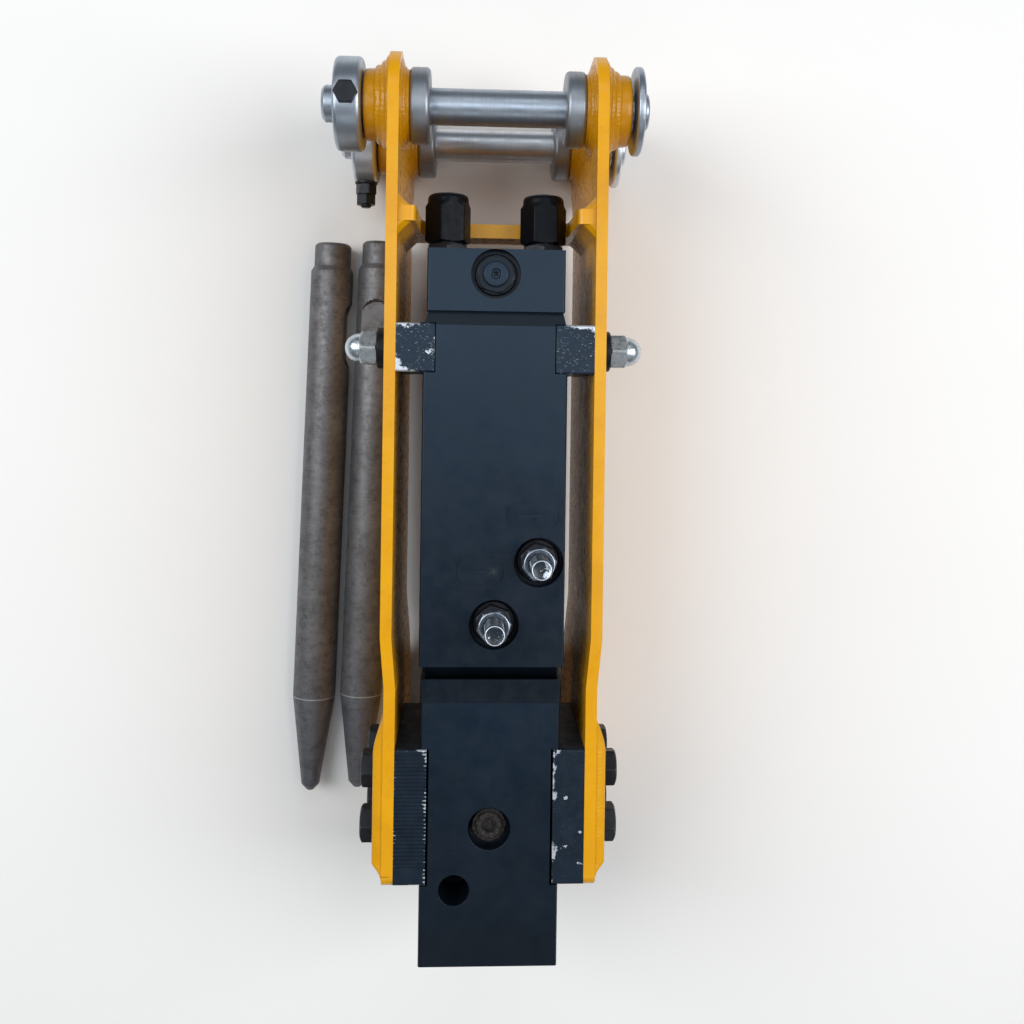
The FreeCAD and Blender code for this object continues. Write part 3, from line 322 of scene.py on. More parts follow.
def zinc(name, soot, tone=(0.60, 0.66, 0.70), rust=0.0):
    """Zinc plating with white bloom, dirt and a few rust spots."""
    p = Paint(name)
    cloud = p.patches(220, 5, 0.7, 0.35, 0.75)
    colour = p.mix(cloud, tone, tuple(0.72 * c for c in tone))
    white = p.patches(320, 6, 0.75, 0.60, 0.68)
    colour = p.mix(p.times(white, 0.5), colour, (0.80, 0.80, 0.79))
    dark = p.patches(150, 5, 0.7, 0.48, 0.70)
    colour = p.mix(p.times(dark, soot), colour, (0.07, 0.06, 0.055))
    spots = p.patches(480, 5, 0.8, 0.60, 0.70)
    colour = p.mix(p.times(spots, rust), colour, (0.22, 0.085, 0.03))
    rough = p.ramp(p.noise(260, 4), (0.3, 0.20), (0.72, 0.42))
    return p.finish(colour, rough, 0.85, p.bump(p.noise(650, 3), 0.02))


def worn_stud(name, at, top, worn):
    """Dull plated thread with a painted highlight on its end's chamfer ring. Its end face carries the body's
    black paint, knocked off on one side.
    """
    face_r = 6.75
    p = Paint(name)
    x, y, z = p.axes()
    cloud = p.patches(220, 5, 0.7, 0.35, 0.75)
    colour = p.mix(cloud, (0.12, 0.14, 0.17), (0.25, 0.28, 0.32))
    dirt = p.patches(380, 5, 0.75, 0.48, 0.66)
    colour = p.mix(p.times(dirt, 0.6), colour, (0.05, 0.04, 0.035))
    dx = p.minus(x, at[0] * MM)
    dy = p.minus(y, at[1] * MM)
    radius = p.math("SQRT", p.plus(p.times(dx, dx), p.times(dy, dy)))
    inside = p.math("LESS_THAN", radius, face_r * MM)
    end = p.math("GREATER_THAN", z, (top - 0.4) * MM)
    face = p.times(inside, end)
    scrape = p.plus(p.noise(420, 4, 0.7), p.times(dx, 45.0 * worn))
    bare = p.ramp(scrape, (0.60, 0.0), (0.66, 1.0))
    cover = p.times(face, p.minus(1.0, bare))
    # Painted highlight: the end's chamfer ring and face get a bright steel colour. Where the paint is scraped
    # off the face, it is bare steel.
    colour = p.mix(end, colour, (0.60, 0.66, 0.74))
    colour = p.mix(cover, colour, (0.007, 0.012, 0.019))
    metal = p.minus(0.85, p.times(cover, 0.85))
    rough = p.ramp(p.noise(260, 4), (0.3, 0.28), (0.72, 0.48))
    return p.finish(colour, rough, metal, p.bump(p.noise(650, 3), 0.03))


def forged_steel(name, top, lean, cone):
    """Heat treated chisel steel: grey scale, turning marks round it, and a painted highlight line at the
    cone's foot.
    """
    p = Paint(name)
    turn = math.radians(lean)
    x, y = p.axes()[:2]
    off_x = p.times(p.minus(x, top[0] * MM), -math.sin(turn))
    off_y = p.times(p.minus(y, top[1] * MM), -math.cos(turn))
    along = p.plus(off_x, off_y)
    cloud = p.patches(32, 6, 0.7, 0.34, 0.72)
    colour = p.mix(cloud, (0.112, 0.106, 0.109), (0.210, 0.202, 0.206))
    tip = p.math("GREATER_THAN", along, cone * MM)
    colour = p.mix(p.times(tip, 0.75), colour, (0.138, 0.138, 0.156))
    patch = p.patches(95, 6, 0.78, 0.50, 0.62)
    colour = p.mix(p.times(patch, 0.55), colour, (0.055, 0.049, 0.047))
    grit = p.patches(950, 4, 0.7, 0.45, 0.75)
    colour = p.mix(p.times(grit, 0.35), colour, (0.27, 0.26, 0.25))
    rings = p.noise(1.0, 3, 0.6, p.stretched((25, 1500, 25)))
    colour = p.mix(p.ramp(rings, (0.45, 0.0), (0.8, 0.35)), colour, (0.05, 0.045, 0.044))
    # Painted highlight: a thin bright band round the chisel where the cone starts.
    near_edge = p.math("ABSOLUTE", p.minus(along, cone * MM))
    edge = p.minus(1.0, p.math("DIVIDE", near_edge, 0.8 * MM), clamp=True)
    colour = p.mix(edge, colour, (0.46, 0.46, 0.47))
    rough = p.ramp(p.noise(210, 5, 0.7), (0.3, 0.40), (0.72, 0.64))
    normal = p.bump(rings, 0.05, p.bump(p.noise(600, 5, 0.7), 0.10))
    return p.finish(colour, rough, 0.6, normal)


def dirty_plug():
    """Black steel under caked dirt."""
    p = Paint("dirty_plug")
    cloud = p.patches(260, 6, 0.75, 0.35, 0.7)
    colour = p.mix(cloud, (0.006, 0.006, 0.007), (0.035, 0.027, 0.023))
    crust = p.patches(700, 5, 0.8, 0.52, 0.70)
    colour = p.mix(p.times(crust, 0.55), colour, (0.15, 0.135, 0.13))
    return p.finish(colour, 0.78, 0.1, p.bump(p.noise(500, 6, 0.75), 0.35), specular=0.3)


def rubber():
    """Black rubber with a grey bloom."""
    p = Paint("seal_rubber")
    bloom = p.patches(90, 5, 0.7, 0.4, 0.8)
    colour = p.mix(bloom, (0.014, 0.014, 0.014), (0.045, 0.043, 0.04))
    return p.finish(colour, 0.72, 0.0, p.bump(p.noise(900, 3), 0.03), specular=0.35)


# ---- mesh building ----
def make(name, points, faces, material, body, stands_for, sharp):
    """A mesh piece from points in mm. It rides on a body and stands for CAD nodes."""
    mesh = bpy.data.meshes.new(name)
    mesh.from_pydata([tuple(c * MM for c in p) for p in points], [], faces)
    tidy = bmesh.new()
    tidy.from_mesh(mesh)
    bmesh.ops.remove_doubles(tidy, verts=tidy.verts, dist=1e-7)
    bmesh.ops.recalc_face_normals(tidy, faces=tidy.faces)
    tidy.to_mesh(mesh)
    tidy.free()
    place(name, mesh, material, body, stands_for, sharp)


def place(name, mesh, material, body, stands_for, sharp=38.0):
    mesh.shade_smooth()
    mesh.set_sharp_from_angle(angle=math.radians(sharp))
    mesh.materials.clear()
    mesh.materials.append(material)
    piece = bpy.data.objects.new(name, mesh)
    bpy.context.collection.objects.link(piece)
    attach(piece, body)
    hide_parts(*stands_for)
    return piece


def stand_in(name, shape, material, *nodes, sharp=38.0):
    """A mesh piece that takes the place of CAD nodes, on their body."""
    points, faces = shape
    make(name, points, faces, material, BODY_OF[nodes[0]], nodes, sharp)


def placed(along, u, v, at, axis):
    """Point of a turned piece: along its axis, and (u, v) off the axis, through at."""
    if axis == "X":
        return (along, at[0] + u, at[1] + v)
    if axis == "Y":
        return (at[0] - u, along, at[1] + v)
    return (at[0] - v, at[1] + u, along)


def rounded(profile, radius, loop=False):
    """A profile of (along, radius) points with its corners rounded."""
    steps = 4
    out = []
    count = len(profile)
    for i, corner in enumerate(profile):
        ends = not loop and i in (0, count - 1)
        here = Vector(corner)
        before = Vector(profile[i - 1]) - here
        after = Vector(profile[(i + 1) % count]) - here
        if ends or before.length < 1e-6 or after.length < 1e-6:
            out.append(tuple(here))
            continue
        if abs(before.angle(after) - math.pi) < math.radians(8):
            out.append(tuple(here))
            continue
        reach = min(radius, before.length * 0.45, after.length * 0.45)
        start = here + before.normalized() * reach
        end = here + after.normalized() * reach
        for k in range(steps + 1):
            t = k / steps
            out.append(tuple(start * (1 - t) ** 2 + here * (2 * t * (1 - t)) + end * t ** 2))
    return out


def hexagon_radius(angle, af, turn):
    """Radius of a hexagon af across flats with slightly rounded corners, in one direction."""
    power = 70.0
    total = 0.0
    for k in range(6):
        c = math.cos(angle - math.radians(turn + 30 + 60 * k))
        if c > 0:
            total += c ** power
    return af / 2 * total ** (-1 / power)


def skin(rows, size, closed=False):
    """Quads between rows of size points each. When closed, the last row joins the first."""
    faces = []
    for j in range(rows if closed else rows - 1):
        low, high = j * size, (j + 1) % rows * size
        for i in range(size):
            k = (i + 1) % size
            faces.append([low + i, low + k, high + k, high + i])
    return faces


def turned(profile, at, axis, af=None, turn=0.0, segments=96, edge=0.5, loop=False):
    """Points and faces of a piece turned about an axis through at, cut to a hexagon when af is given.

    A loop is a ring's whole section. Any other profile runs from end to end and gets caps."""
    rows = rounded(profile, edge, loop=loop)
    if loop:
        rows.append(rows[0])
    if af:
        dense = [rows[0]]
        for a, b in zip(rows, rows[1:]):
            parts = max(1, math.ceil((Vector(b) - Vector(a)).length / (af / 26)))
            dense += [tuple(Vector(a).lerp(Vector(b), (k + 1) / parts)) for k in range(parts)]
        rows = dense
    points = []
    angles = [2 * math.pi * i / segments for i in range(segments)]
    flats = [hexagon_radius(a, af, turn) if af else 1e9 for a in angles]
    for along, radius in rows:
        for angle, flat in zip(angles, flats):
            r = min(radius, flat)
            points.append(placed(along, r * math.cos(angle), r * math.sin(angle), at, axis))
    faces = skin(len(rows), segments)
    if not loop:
        for j in (0, len(rows) - 1):
            if rows[j][1] > 1e-3:
                faces.append([j * segments + i for i in range(segments)])
    return points, faces


def joined(*shapes):
    """Several (points, faces) as one."""
    points, faces = [], []
    for more_points, more_faces in shapes:
        base = len(points)
        points += more_points
        faces += [[base + i for i in face] for face in more_faces]
    return points, faces


def on_side(side, shape):
    """A right-hand shape for side 1, and its mirror image for side -1."""
    if side > 0:
        return shape
    points, faces = shape
    return [(-x, y, z) for x, y, z in points], [face[::-1] for face in faces]


def softened(node, material, width, reach=2.5, rims=(), every=False):
    """The CAD node's shape with its outer edges rounded off, as a piece that stands for it.

    rims are (x, y, radius) of holes in the top face whose mouths are broken as well."""
    flush, hole_edge = 0.05, 0.5
    low, high = span(node)
    work = bmesh.new()
    work.from_mesh(frame["nodes"][node].data)
    bmesh.ops.remove_doubles(work, verts=work.verts, dist=2e-6)
    bmesh.ops.dissolve_limit(work, angle_limit=math.radians(0.4), verts=work.verts, edges=work.edges)

    def rim_of(vert):
        x, y, z = vert.co / MM
        if high[2] - z > flush:
            return None
        on_rim = (i for i, (cx, cy, r) in enumerate(rims) if abs(math.hypot(x - cx, y - cy) - r) < 0.08)
        return next(on_rim, None)

    outer, mouths = [], []
    for edge in work.edges:
        if len(edge.link_faces) != 2 or edge.calc_face_angle() < math.radians(24) or not edge.is_convex:
            continue
        a, b = rim_of(edge.verts[0]), rim_of(edge.verts[1])
        if a is not None and a == b:
            mouths.append(edge)
            continue
        if edge.calc_length() < 4 * width * MM:
            continue
        middle = (edge.verts[0].co + edge.verts[1].co) / 2 / MM
        depths = sorted(min(middle[i] - low[i], high[i] - middle[i]) for i in range(3))
        if every or (depths[0] < flush and depths[1] < reach):
            outer.append(edge)
    if mouths:
        bmesh.ops.bevel(work, geom=mouths, offset=hole_edge * MM, offset_type="OFFSET", affect="EDGES",
                        segments=2, profile=0.5, clamp_overlap=True)
        outer = [edge for edge in outer if edge.is_valid]
    if outer:
        bmesh.ops.bevel(work, geom=outer, offset=width * MM, offset_type="OFFSET", affect="EDGES",
                        segments=3, profile=0.5, clamp_overlap=True)
    mesh = bpy.data.meshes.new("soft_" + node)
    work.to_mesh(mesh)
    work.free()
    piece = place("soft_" + node, mesh, material, BODY_OF[node], [node])
    shading = piece.modifiers.new("weighted", "WEIGHTED_NORMAL")
    shading.keep_sharp = True


def dress(node, material):
    """Gives a CAD node, whose shape is right, its finished material."""
    mesh = frame["nodes"][node].data
    mesh.materials.clear()
    mesh.materials.append(material)


# ---- materials in use ----
PAINT = yellow_paint()
# A darker copy of the yellow paint, for the boss tubes and weld rings.
BOSS_PAINT = yellow_paint("boss_paint", (0.60, 0.265, 0.003), (0.48, 0.200, 0.0015))
OXIDE = black_oxide()
CAP_BLACK = black_oxide("cap_black", (0.0018, 0.0028, 0.0045), 0.1, 0.11)
SPACER_DARK = black_oxide("spacer_dark", (0.007, 0.0075, 0.010))
ZINC = zinc("dome_zinc", 0.10)
NUT_ZINC = zinc("nut_zinc", 0.55, (0.38, 0.44, 0.52), 0.05)
RUBBER = rubber()
INNER_STEEL = turned_steel("inner_steel", (0, 0, 0), 1, (0.50, 0.54, 0.60), (0.38, 0.40, 0.44),
                           0.18, 0.006, 0.2)
BUSH_DARK = turned_steel("bush_dark", (0, 0, 0), 1, (0.22, 0.22, 0.23), (0.12, 0.11, 0.10), 0.36, 0.02, 0.6)
# The link pin gets a brighter copy of the pin steel: painted light, making up for the weaker light that
# reaches the lower pin.
PIN_STEEL = {
    "arm": turned_steel("arm_pin_steel", (0, PIN_Y, PIN_Z["arm"]), 0),
    "link": turned_steel("link_pin_steel", (0, PIN_Y, PIN_Z["link"]), 0,
                         (0.66, 0.69, 0.74), (0.46, 0.47, 0.50)),
}
BUSH_STEEL = {
    k: turned_steel(k + "_bush_steel", (0, PIN_Y, z), 0, (0.33, 0.36, 0.40), (0.20, 0.205, 0.22), 0.36)
    for k, z in PIN_Z.items()
}


# ---- body blocks ----
CHARGE_AT = (-0.5, 541.5)
ADJUSTERS = {"upper": (36.0, 316.0), "lower": (1.5, 267.0)}
LOCK_PLUG_AT = (0.0, 107.5)
SINK_R = 19.5
RIMS = {
    "front_head": [(-27.0, 59.5, 12.05), (*LOCK_PLUG_AT, 16.5)],
    "cylinder": [(*at, SINK_R) for at in ADJUSTERS.values()],
    "back_head": [(*CHARGE_AT, SINK_R)],
}
HEAD_CHIPS = [(54, 96, 9, 0.16), (54, 20, 7, 0.14), (36, 14, 5, 0.22)]
# Each block's painted sheen as (at its foot, at its top), lightest towards the back head, and its chips.
BLOCK_LOOKS = {
    "front_head": ((0.02, 0.55), HEAD_CHIPS),
    "cylinder": ((0.18, 0.95), []),
    "back_head": ((0.95, 1.0), []),
}
BLOCK_PAINT = {}
for block, (painted_sheen, chips) in BLOCK_LOOKS.items():
    BLOCK_PAINT[block] = black_paint("black_" + block, *span(block), painted_sheen, chips)
    softened(block, BLOCK_PAINT[block], 0.35, rims=RIMS[block])

for node in ("upper_tool_bush", "thrust_ring"):
    dress(node, BUSH_DARK)
for node in ("piston", "valve_sleeve", "valve_spool", "valve_plug", "seal_carrier"):
    dress(node, INNER_STEEL)
for node in ("dust_seal", "stem_seals", "gas_seals", "carrier_o_rings", "retainer_plug"):
    dress(node, RUBBER)
dress("upper_key_studs", ZINC)
dress("tool_retainer_pin", CAP_BLACK)
dress("through_bolts", OXIDE)
dress("charging_valve_plug", BLOCK_PAINT["back_head"])


def tool_bush():
    """Lower tool bush with a chamfered mouth."""
    length, bore, outside = 44.0, 20.2, 28.0
    section = [(0.0, bore + 0.8), (1.0, bore), (length, bore), (length, outside), (0.8, outside),
               (0.0, outside - 0.8)]
    shape = turned(section, (0, 0), "Y", segments=128, edge=0.2, loop=True)
    stand_in("tool_bush_mouth", shape, BUSH_DARK, "lower_tool_bush")


# ---- valves on the front face ----
def from_seat(*profile):
    """A profile whose heights are given from the floor of the counterbores."""
    return [(SEAT + height, radius) for height, radius in profile]


def charging_valve():
    """Flange, hexagon and round collar, painted over with the block."""
    bore, across_flats = 4.1, 27.0
    foot = turned(from_seat((-26.0, bore), (-26.0, 8.0), (0.0, 8.0), (0.0, 16.5), (3.2, 16.5), (4.0, 15.8),
                            (4.0, bore)), CHARGE_AT, "Z", segments=128, edge=0.4, loop=True)
    hexagon = turned(from_seat((4.05, bore), (4.05, 16.4), (8.3, 16.4), (9.5, 14.2), (9.5, bore)),
                     CHARGE_AT, "Z", across_flats, 15, 144, 0.4, loop=True)
    collar = turned(from_seat((9.4, 3.4), (9.4, 10.4), (12.0, 10.2), (13.0, 9.2), (13.0, 4.2), (12.2, 3.4)),
                    CHARGE_AT, "Z", loop=True)
    stand_in("charging_valve_body", joined(foot, hexagon, collar), BLOCK_PAINT["back_head"],
             "charging_valve")


def adjuster_bases():
    """Each adjuster's flanged body with its hexagon, and the lock nut on top of it."""
    bore, body_flats, nut_flats = 8.1, 27.0, 24.0
    bodies, nuts = [], []
    for at in ADJUSTERS.values():
        bodies.append(turned(from_seat((-12, bore), (-12, 10.0), (0.0, 10.0), (0.0, 17.0), (2.5, 17.0),
                                       (3.5, 16.0), (3.5, bore)), at, "Z", edge=0.4, loop=True))
        bodies.append(turned(from_seat((3.6, bore), (3.6, 15.4), (9.8, 15.4), (11.0, 13.2), (11.0, bore)),
                             at, "Z", body_flats, 10, loop=True))
        nuts.append(turned(from_seat((11.1, bore), (11.1, 12.2), (12.4, 13.8), (22.4, 13.8), (24.0, 11.6),
                                     (23.4, 8.9), (22.4, bore)), at, "Z", nut_flats, 40, 120, loop=True))
    stand_in("adjuster_bases", joined(*bodies), SPACER_DARK, "adjuster_bodies")
    stand_in("adjuster_lock_nuts", joined(*nuts), NUT_ZINC, "adjuster_nuts")


def threaded_stud(name, at, node, worn):
    """Adjuster stud with a real helical thread, a chamfered end and a shallow centre dimple."""
    pitch, depth, radius = 2.0, 1.15, 7.95
    foot, top = SEAT - 12.0, FRONT_Z + 40.0
    thread_top = top - 2.0
    segments, step = 72, 0.25
    rows = int((thread_top - foot) / step)
    points = []

    def ring(height, size):
        for i in range(segments):
            a = 2 * math.pi * i / segments
            points.append((at[0] + size(a) * math.cos(a), at[1] + size(a) * math.sin(a), height))

    for j in range(rows + 1):
        z = foot + (thread_top - foot) * j / rows

        def size(a, z=z):
            phase = ((z / pitch - a / (2 * math.pi)) % 1.0) * 2 - 1
            fade = min(1.0, max(0.0, (thread_top - 0.6 - z) / 1.2))
            return radius - depth * fade * min(1.0, max(0.0, (0.92 - abs(phase)) / 0.75))
        ring(z, size)
    for z, r in ((top - 1.0, radius), (top - 0.5, 7.75), (top - 0.1, 7.45), (top, 7.3), (top, 6.8),
                 (top - 0.1, 6.7), (top - 0.3, 6.4), (top - 0.35, 2.0)):
        ring(z, lambda a, r=r: r)
    total = len(points) // segments
    faces = skin(total, segments)
    faces.append([(total - 1) * segments + i for i in range(segments)])
    faces.append(list(range(segments))[::-1])
    stand_in(name, (points, faces), worn_stud(name + "_plating", at, top, worn), node, sharp=50.0)


def lock_plug():
    """Socket plug, lumpy with packed dirt."""
    top, head = FRONT_Z - 6, FRONT_Z - 14
    points, faces = turned([
        (24.0, 0.0), (24.0, 8.0), (28.0, 8.0), (28.0, 9.0), (head, 9.0), (head, 13.4), (top - 3.0, 13.4),
        (top - 2.2, 12.6), (top - 2.4, 11.0), (top - 0.4, 10.0), (top, 9.2), (top, 6.2), (top - 0.8, 5.6),
        (top - 6.5, 5.2), (top - 6.5, 0.0),
    ], LOCK_PLUG_AT, "Z", segments=120, edge=0.7)
    points, faces = densified(points, faces, 1.2)
    lumpy = []
    for x, y, z in points:
        lump = noise.noise(Vector((x * 0.32, y * 0.32, z * 0.4))) + 0.6 * noise.noise(Vector((x, y, z)) * 0.9)
        away = Vector((x, y - LOCK_PLUG_AT[1], 0))
        push = 0.8 * lump
        if away.length > 1 and z > head:
            x, y = x + away.x / away.length * push * 0.5, y + away.y / away.length * push * 0.5
        lumpy.append((x, y, z + (push * 0.7 - 0.5 if z > FRONT_Z - 10 else 0.0)))
    stand_in("dirty_lock_plug", (lumpy, faces), dirty_plug(), "bush_lock_plug")


def densified(points, faces, longest):
    """Splits edges longer than a length in mm."""
    work = bmesh.new()
    verts = [work.verts.new(p) for p in points]
    for face in faces:
        work.faces.new([verts[i] for i in dict.fromkeys(face)])
    bmesh.ops.remove_doubles(work, verts=work.verts, dist=1e-4)
    for _ in range(3):
        long_edges = [e for e in work.edges if e.calc_length() > longest]
        if not long_edges:
            break
        bmesh.ops.subdivide_edges(work, edges=long_edges, cuts=1, use_grid_fill=True)
    work.verts.index_update()
    result = [tuple(v.co) for v in work.verts], [[v.index for v in f.verts] for f in work.faces]
    work.free()
    return result


tool_bush()
charging_valve()
adjuster_bases()
for key, worn in (("upper", 0.9), ("lower", 0.0)):
    threaded_stud(key + "_threaded_stud", ADJUSTERS[key], key + "_adjuster_stud", worn)
lock_plug()


# ---- hose ports ----
def hose_ports():
    """Adapters with a hexagon and a plain nose, and the soft seals under them."""
    bore, thread_r, nose_r, across_flats = 6.5, 10.5, 12.5, 32.0
    adapters, seals = [], []
    for x in (-PORT_X, PORT_X):
        adapters.append(turned([
            (546, bore), (546, thread_r), (563.5, thread_r), (563.5, 17.0), (564.6, 18.4), (570.0, 18.4),
            (571.5, 16.4), (571.5, nose_r), (596, nose_r), (599, 9.5), (599, bore),
        ], (x, 0), "Y", across_flats, 30, 120, 0.4, loop=True))
        seals.append(turned([(561.0, 10.6), (561.0, 14.6), (562.2, 15.0), (563.4, 14.6), (563.4, 10.6)],
                            (x, 0), "Y", loop=True))
    stand_in("port_adapters", joined(*adapters), OXIDE, "hose_adapters")
    stand_in("port_seals", joined(*seals), RUBBER, "adapter_seals")


def port_cap(side, x, turn):
    """Blanking cap: chamfered hexagon skirt under a round domed crown, hollow inside."""
    hollow_r, across_flats = 13.0, 34.0
    shape = turned([
        (601.0, 0.0), (601.0, hollow_r), (573.2, hollow_r), (573.0, 16.4), (574.6, 19.5), (603.0, 19.5),
        (606.2, 17.4), (608.0, 17.2), (610.4, 17.1), (612.6, 16.2), (614.0, 13.6), (614.4, 9.0), (614.5, 0.0),
    ], (x, 0), "Y", across_flats, turn, 144, 0.6)
    stand_in("cap_" + side, shape, CAP_BLACK, "port_cap_" + side)


hose_ports()
port_cap("left", -PORT_X, 14)
port_cap("right", PORT_X, 4)


# ---- side plates, welds and pads ----
def rough_noise(*at):
    return noise.noise(Vector(at))


def sweep(sections, closed_path=False):
    """Skin over a row of sections with the same number of points each."""
    size, rows = len(sections[0]), len(sections)
    points = [point for section in sections for point in section]
    faces = skin(rows, size, closed_path)
    if not closed_path:
        faces.append(list(range(size)))
        faces.append([(rows - 1) * size + i for i in range(size)][::-1])
    return points, faces


def weld_ring(side, z, plate_x, outwards, leg_x, leg_r):
    """Round fillet laid in three passes, each with its own ripples and a slightly wandering edge.

    leg_x and leg_r are its reach along the boss and along the plate."""
    passes, per_pass, sink = 3, 7, 0.3
    away = 1 if outwards else -1
    sections = []
    count = 300
    for j in range(count):
        angle = 2 * math.pi * j / count
        c, s = math.cos(angle), math.sin(angle)
        section = []
        toe_r = leg_r * (0.94 + 0.05 * rough_noise(c * 2.2, s * 2.2, z * 0.1 + side))
        top_x = leg_x * (0.94 + 0.06 * rough_noise(c * 2.6 + 9, s * 2.6, z * 0.1 - side))
        for k in range(passes * per_pass + 1):
            t = k / (passes * per_pass)
            bead = (t * passes) % 1.0 if k < passes * per_pass else 0.0
            lane = min(passes - 1, int(t * passes))
            hump = math.sin(math.pi * bead)
            ripple = math.sin(angle * (46 + 5 * lane) + 2.6 * math.cos(math.pi * (bead - 0.5)) + 2.1 * lane)
            lift = 1.05 * hump + 0.16 * hump * ripple
            lift += 0.35 * hump * rough_noise(c * 6, s * 6, lane * 3.1 + side * 7 + z)
            sag = 1.1 * math.sin(math.pi * t)
            r = BOSS_R + toe_r * (1 - t)
            scale = (lift - sag) / math.hypot(leg_r, leg_x)
            x = plate_x + away * (top_x * t + leg_r * scale)
            section.append((x, min(r + leg_x * scale, BOSS_R + leg_r)))
        section.append((plate_x + away * top_x, BOSS_R - sink))
        section.append((plate_x - away * sink, BOSS_R - sink))
        section.append((plate_x - away * sink, BOSS_R + toe_r))
        sections.append([(side * x, PIN_Y + r * c, z + r * s) for x, r in section])
    return sweep(sections, closed_path=True)


def boss_welds():
    """Weld rings round the bosses, outside and inside both plates."""
    for side, name in ((1, "right"), (-1, "left")):
        shapes = []
        for z in PIN_Z.values():
            shapes.append(weld_ring(side, z, PLATE_OUT, True, 13.0, 12.0))
            shapes.append(weld_ring(side, z, PLATE_IN, False, 4.0, 8.5))
        stand_in("weld_rings_" + name, joined(*shapes), BOSS_PAINT, "boss_welds_" + name, sharp=60.0)


def bead(start, end, leg_a, leg_b, seed, bulge):
    """Straight fillet between two faces: leg_a and leg_b run along the faces from the corner line."""
    start, end = Vector(start), Vector(end)
    leg_a, leg_b = Vector(leg_a), Vector(leg_b)
    run = end - start
    spacing = 0.7
    count = int(run.length / spacing)
    out = (leg_a.normalized() + leg_b.normalized()).normalized()
    sections = []
    for j in range(count + 1):
        t = j / count
        along = t * run.length
        close = min(along, run.length - along)
        taper = min(1.0, 0.45 + close / 9.0)
        wander_a = taper * (0.93 + 0.07 * rough_noise(along * 0.11, seed, 0))
        wander_b = taper * (0.93 + 0.07 * rough_noise(along * 0.11, seed, 5))
        section = []
        for k in range(11):
            u = k / 10
            curve = math.sin(math.pi * u)
            ripple = math.sin(along * 2.3 - 2.2 * curve + 2 * rough_noise(along * 0.2, seed, 3))
            lift = taper * curve * (bulge + 0.05 * ripple + 0.2 * rough_noise(along * 0.12, u * 2, seed))
            edge = leg_a * (wander_a * (1 - u)) + leg_b * (wander_b * u)
            section.append(tuple(start + run * t + edge + out * lift))
        section.append(tuple(start + run * t - out * 0.3))
        sections.append(section)
    return sweep(sections)


def cross_plate_welds():
    """Slightly hollow fillets up both faces of the cross plate, at each side plate."""
    shapes = []
    leg, low, high, bulge = 11.0, -69, 62, 0.9 - 1.3
    for side in (-1, 1):
        x = side * PLATE_IN
        for y, away in ((582.5, -1), (594.5, 1)):
            shapes.append(bead((x, y, low), (x, y, high), (0, away * leg, 0), (-side * leg, 0, 0),
                               side * 3 + away, bulge))
    stand_in("cross_welds", joined(*shapes), PAINT, "cross_plate_welds", sharp=60.0)


def bolt_pads():
    """Bolt pads: their long front edge is built up with weld that slopes out from the plate.

    foot_curve gives the pad's thickness at heights above its tool end."""
    shapes = []
    low, high = 66.0, 192.0
    face, thick, back = 83.5, 8.0, -65.9
    rows = 260
    foot_curve = ((0.0, 0.1), (2.0, 0.6), (5.0, 1.7), (8.0, 3.6), (10.5, 6.2), (12.5, 7.7), (14.5, 8.0))
    weld_slope = ((0.94, 4.9), (0.80, 4.2), (0.62, 3.4), (0.44, 2.7), (0.26, 2.2), (0.12, 2.1), (0.03, 1.2))
    for side in (-1, 1):
        sections = []
        for j in range(rows + 1):
            y = low + (high - low) * j / rows
            t = thick * (1 - (1 - min(1.0, (high - y) / 27.0)) ** 1.7)
            for (y0, t0), (y1, t1) in zip(foot_curve, foot_curve[1:]):
                if y0 <= y - low < y1:
                    t = t0 + (t1 - t0) * (y - low - y0) / (y1 - y0)
            t = max(0.25, t)
            share = t / thick
            wave = share * (0.3 * rough_noise(y * 0.09, side * 3, 1) + 0.05 * math.sin(y * 1.9 + side))
            section = [(face, back), (face + t - 1.0 * share, back), (face + t - 0.3 * share, back + 0.3),
                       (face + t, back + 1.1), (face + t, 60.0 + 4 * (1 - share))]
            for u, drop in weld_slope:
                z = FRONT_Z - drop * (0.35 + 0.65 * share) + wave * math.sin(math.pi * u)
                section.append((face + t * u, z))
            section.append((face, FRONT_Z - 0.6))
            sections.append([(side * x, y, min(z, FRONT_Z - 0.05)) for x, z in section])
        shapes.append(sweep(sections))
    stand_in("welded_pads", joined(*shapes), PAINT, "bolt_pads", sharp=42.0)


for side in ("left", "right"):
    softened("side_plate_" + side, PAINT, 0.8, 14)
softened("cross_plate", PAINT, 0.8, every=True)
boss_welds()
cross_plate_welds()
bolt_pads()

# ---- key blocks ----
# painted sheen, wear spots as (x, y, reach, strength), wear everywhere, bright ticks, worn ridges
KEY_SHEEN_AND_WEAR = {
    "upper_key_left": (0.8, [(-77, 465, 17, 0.36), (-60, 501, 16, 0.13), (-74, 501, 11, 0.16),
                             (-54, 480, 6, 0.42), (-48, 484, 18, 0.05)], 0.0, 0.6, 0.0),
    "upper_key_right": (0.8, [(73, 501, 13, 0.26), (60, 501, 12, 0.17), (49, 480, 16, 0.0)],
                        -0.02, 0.55, 0.0),
    "lower_key_left": (0.35, [(-50, 164, 14, 0.20), (-50, 128, 12, 0.13), (-50, 108, 12, 0.10),
                              (-51, 68, 15, 0.13)], -0.02, 0.0, 0.07),
    "lower_key_right": (0.35, [(50, 163, 11, 0.17), (49.5, 147, 15, 0.16), (51, 132, 6, 0.30),
                               (60, 131.5, 5, 0.62), (62, 169, 15, 0.09), (53, 90, 10, 0.34),
                               (61, 94, 7, 0.44), (71, 105, 3, 0.34), (70, 80, 5, 0.40),
                               (50, 74, 12, 0.06)], -0.04, 0.06, 0.0),
}
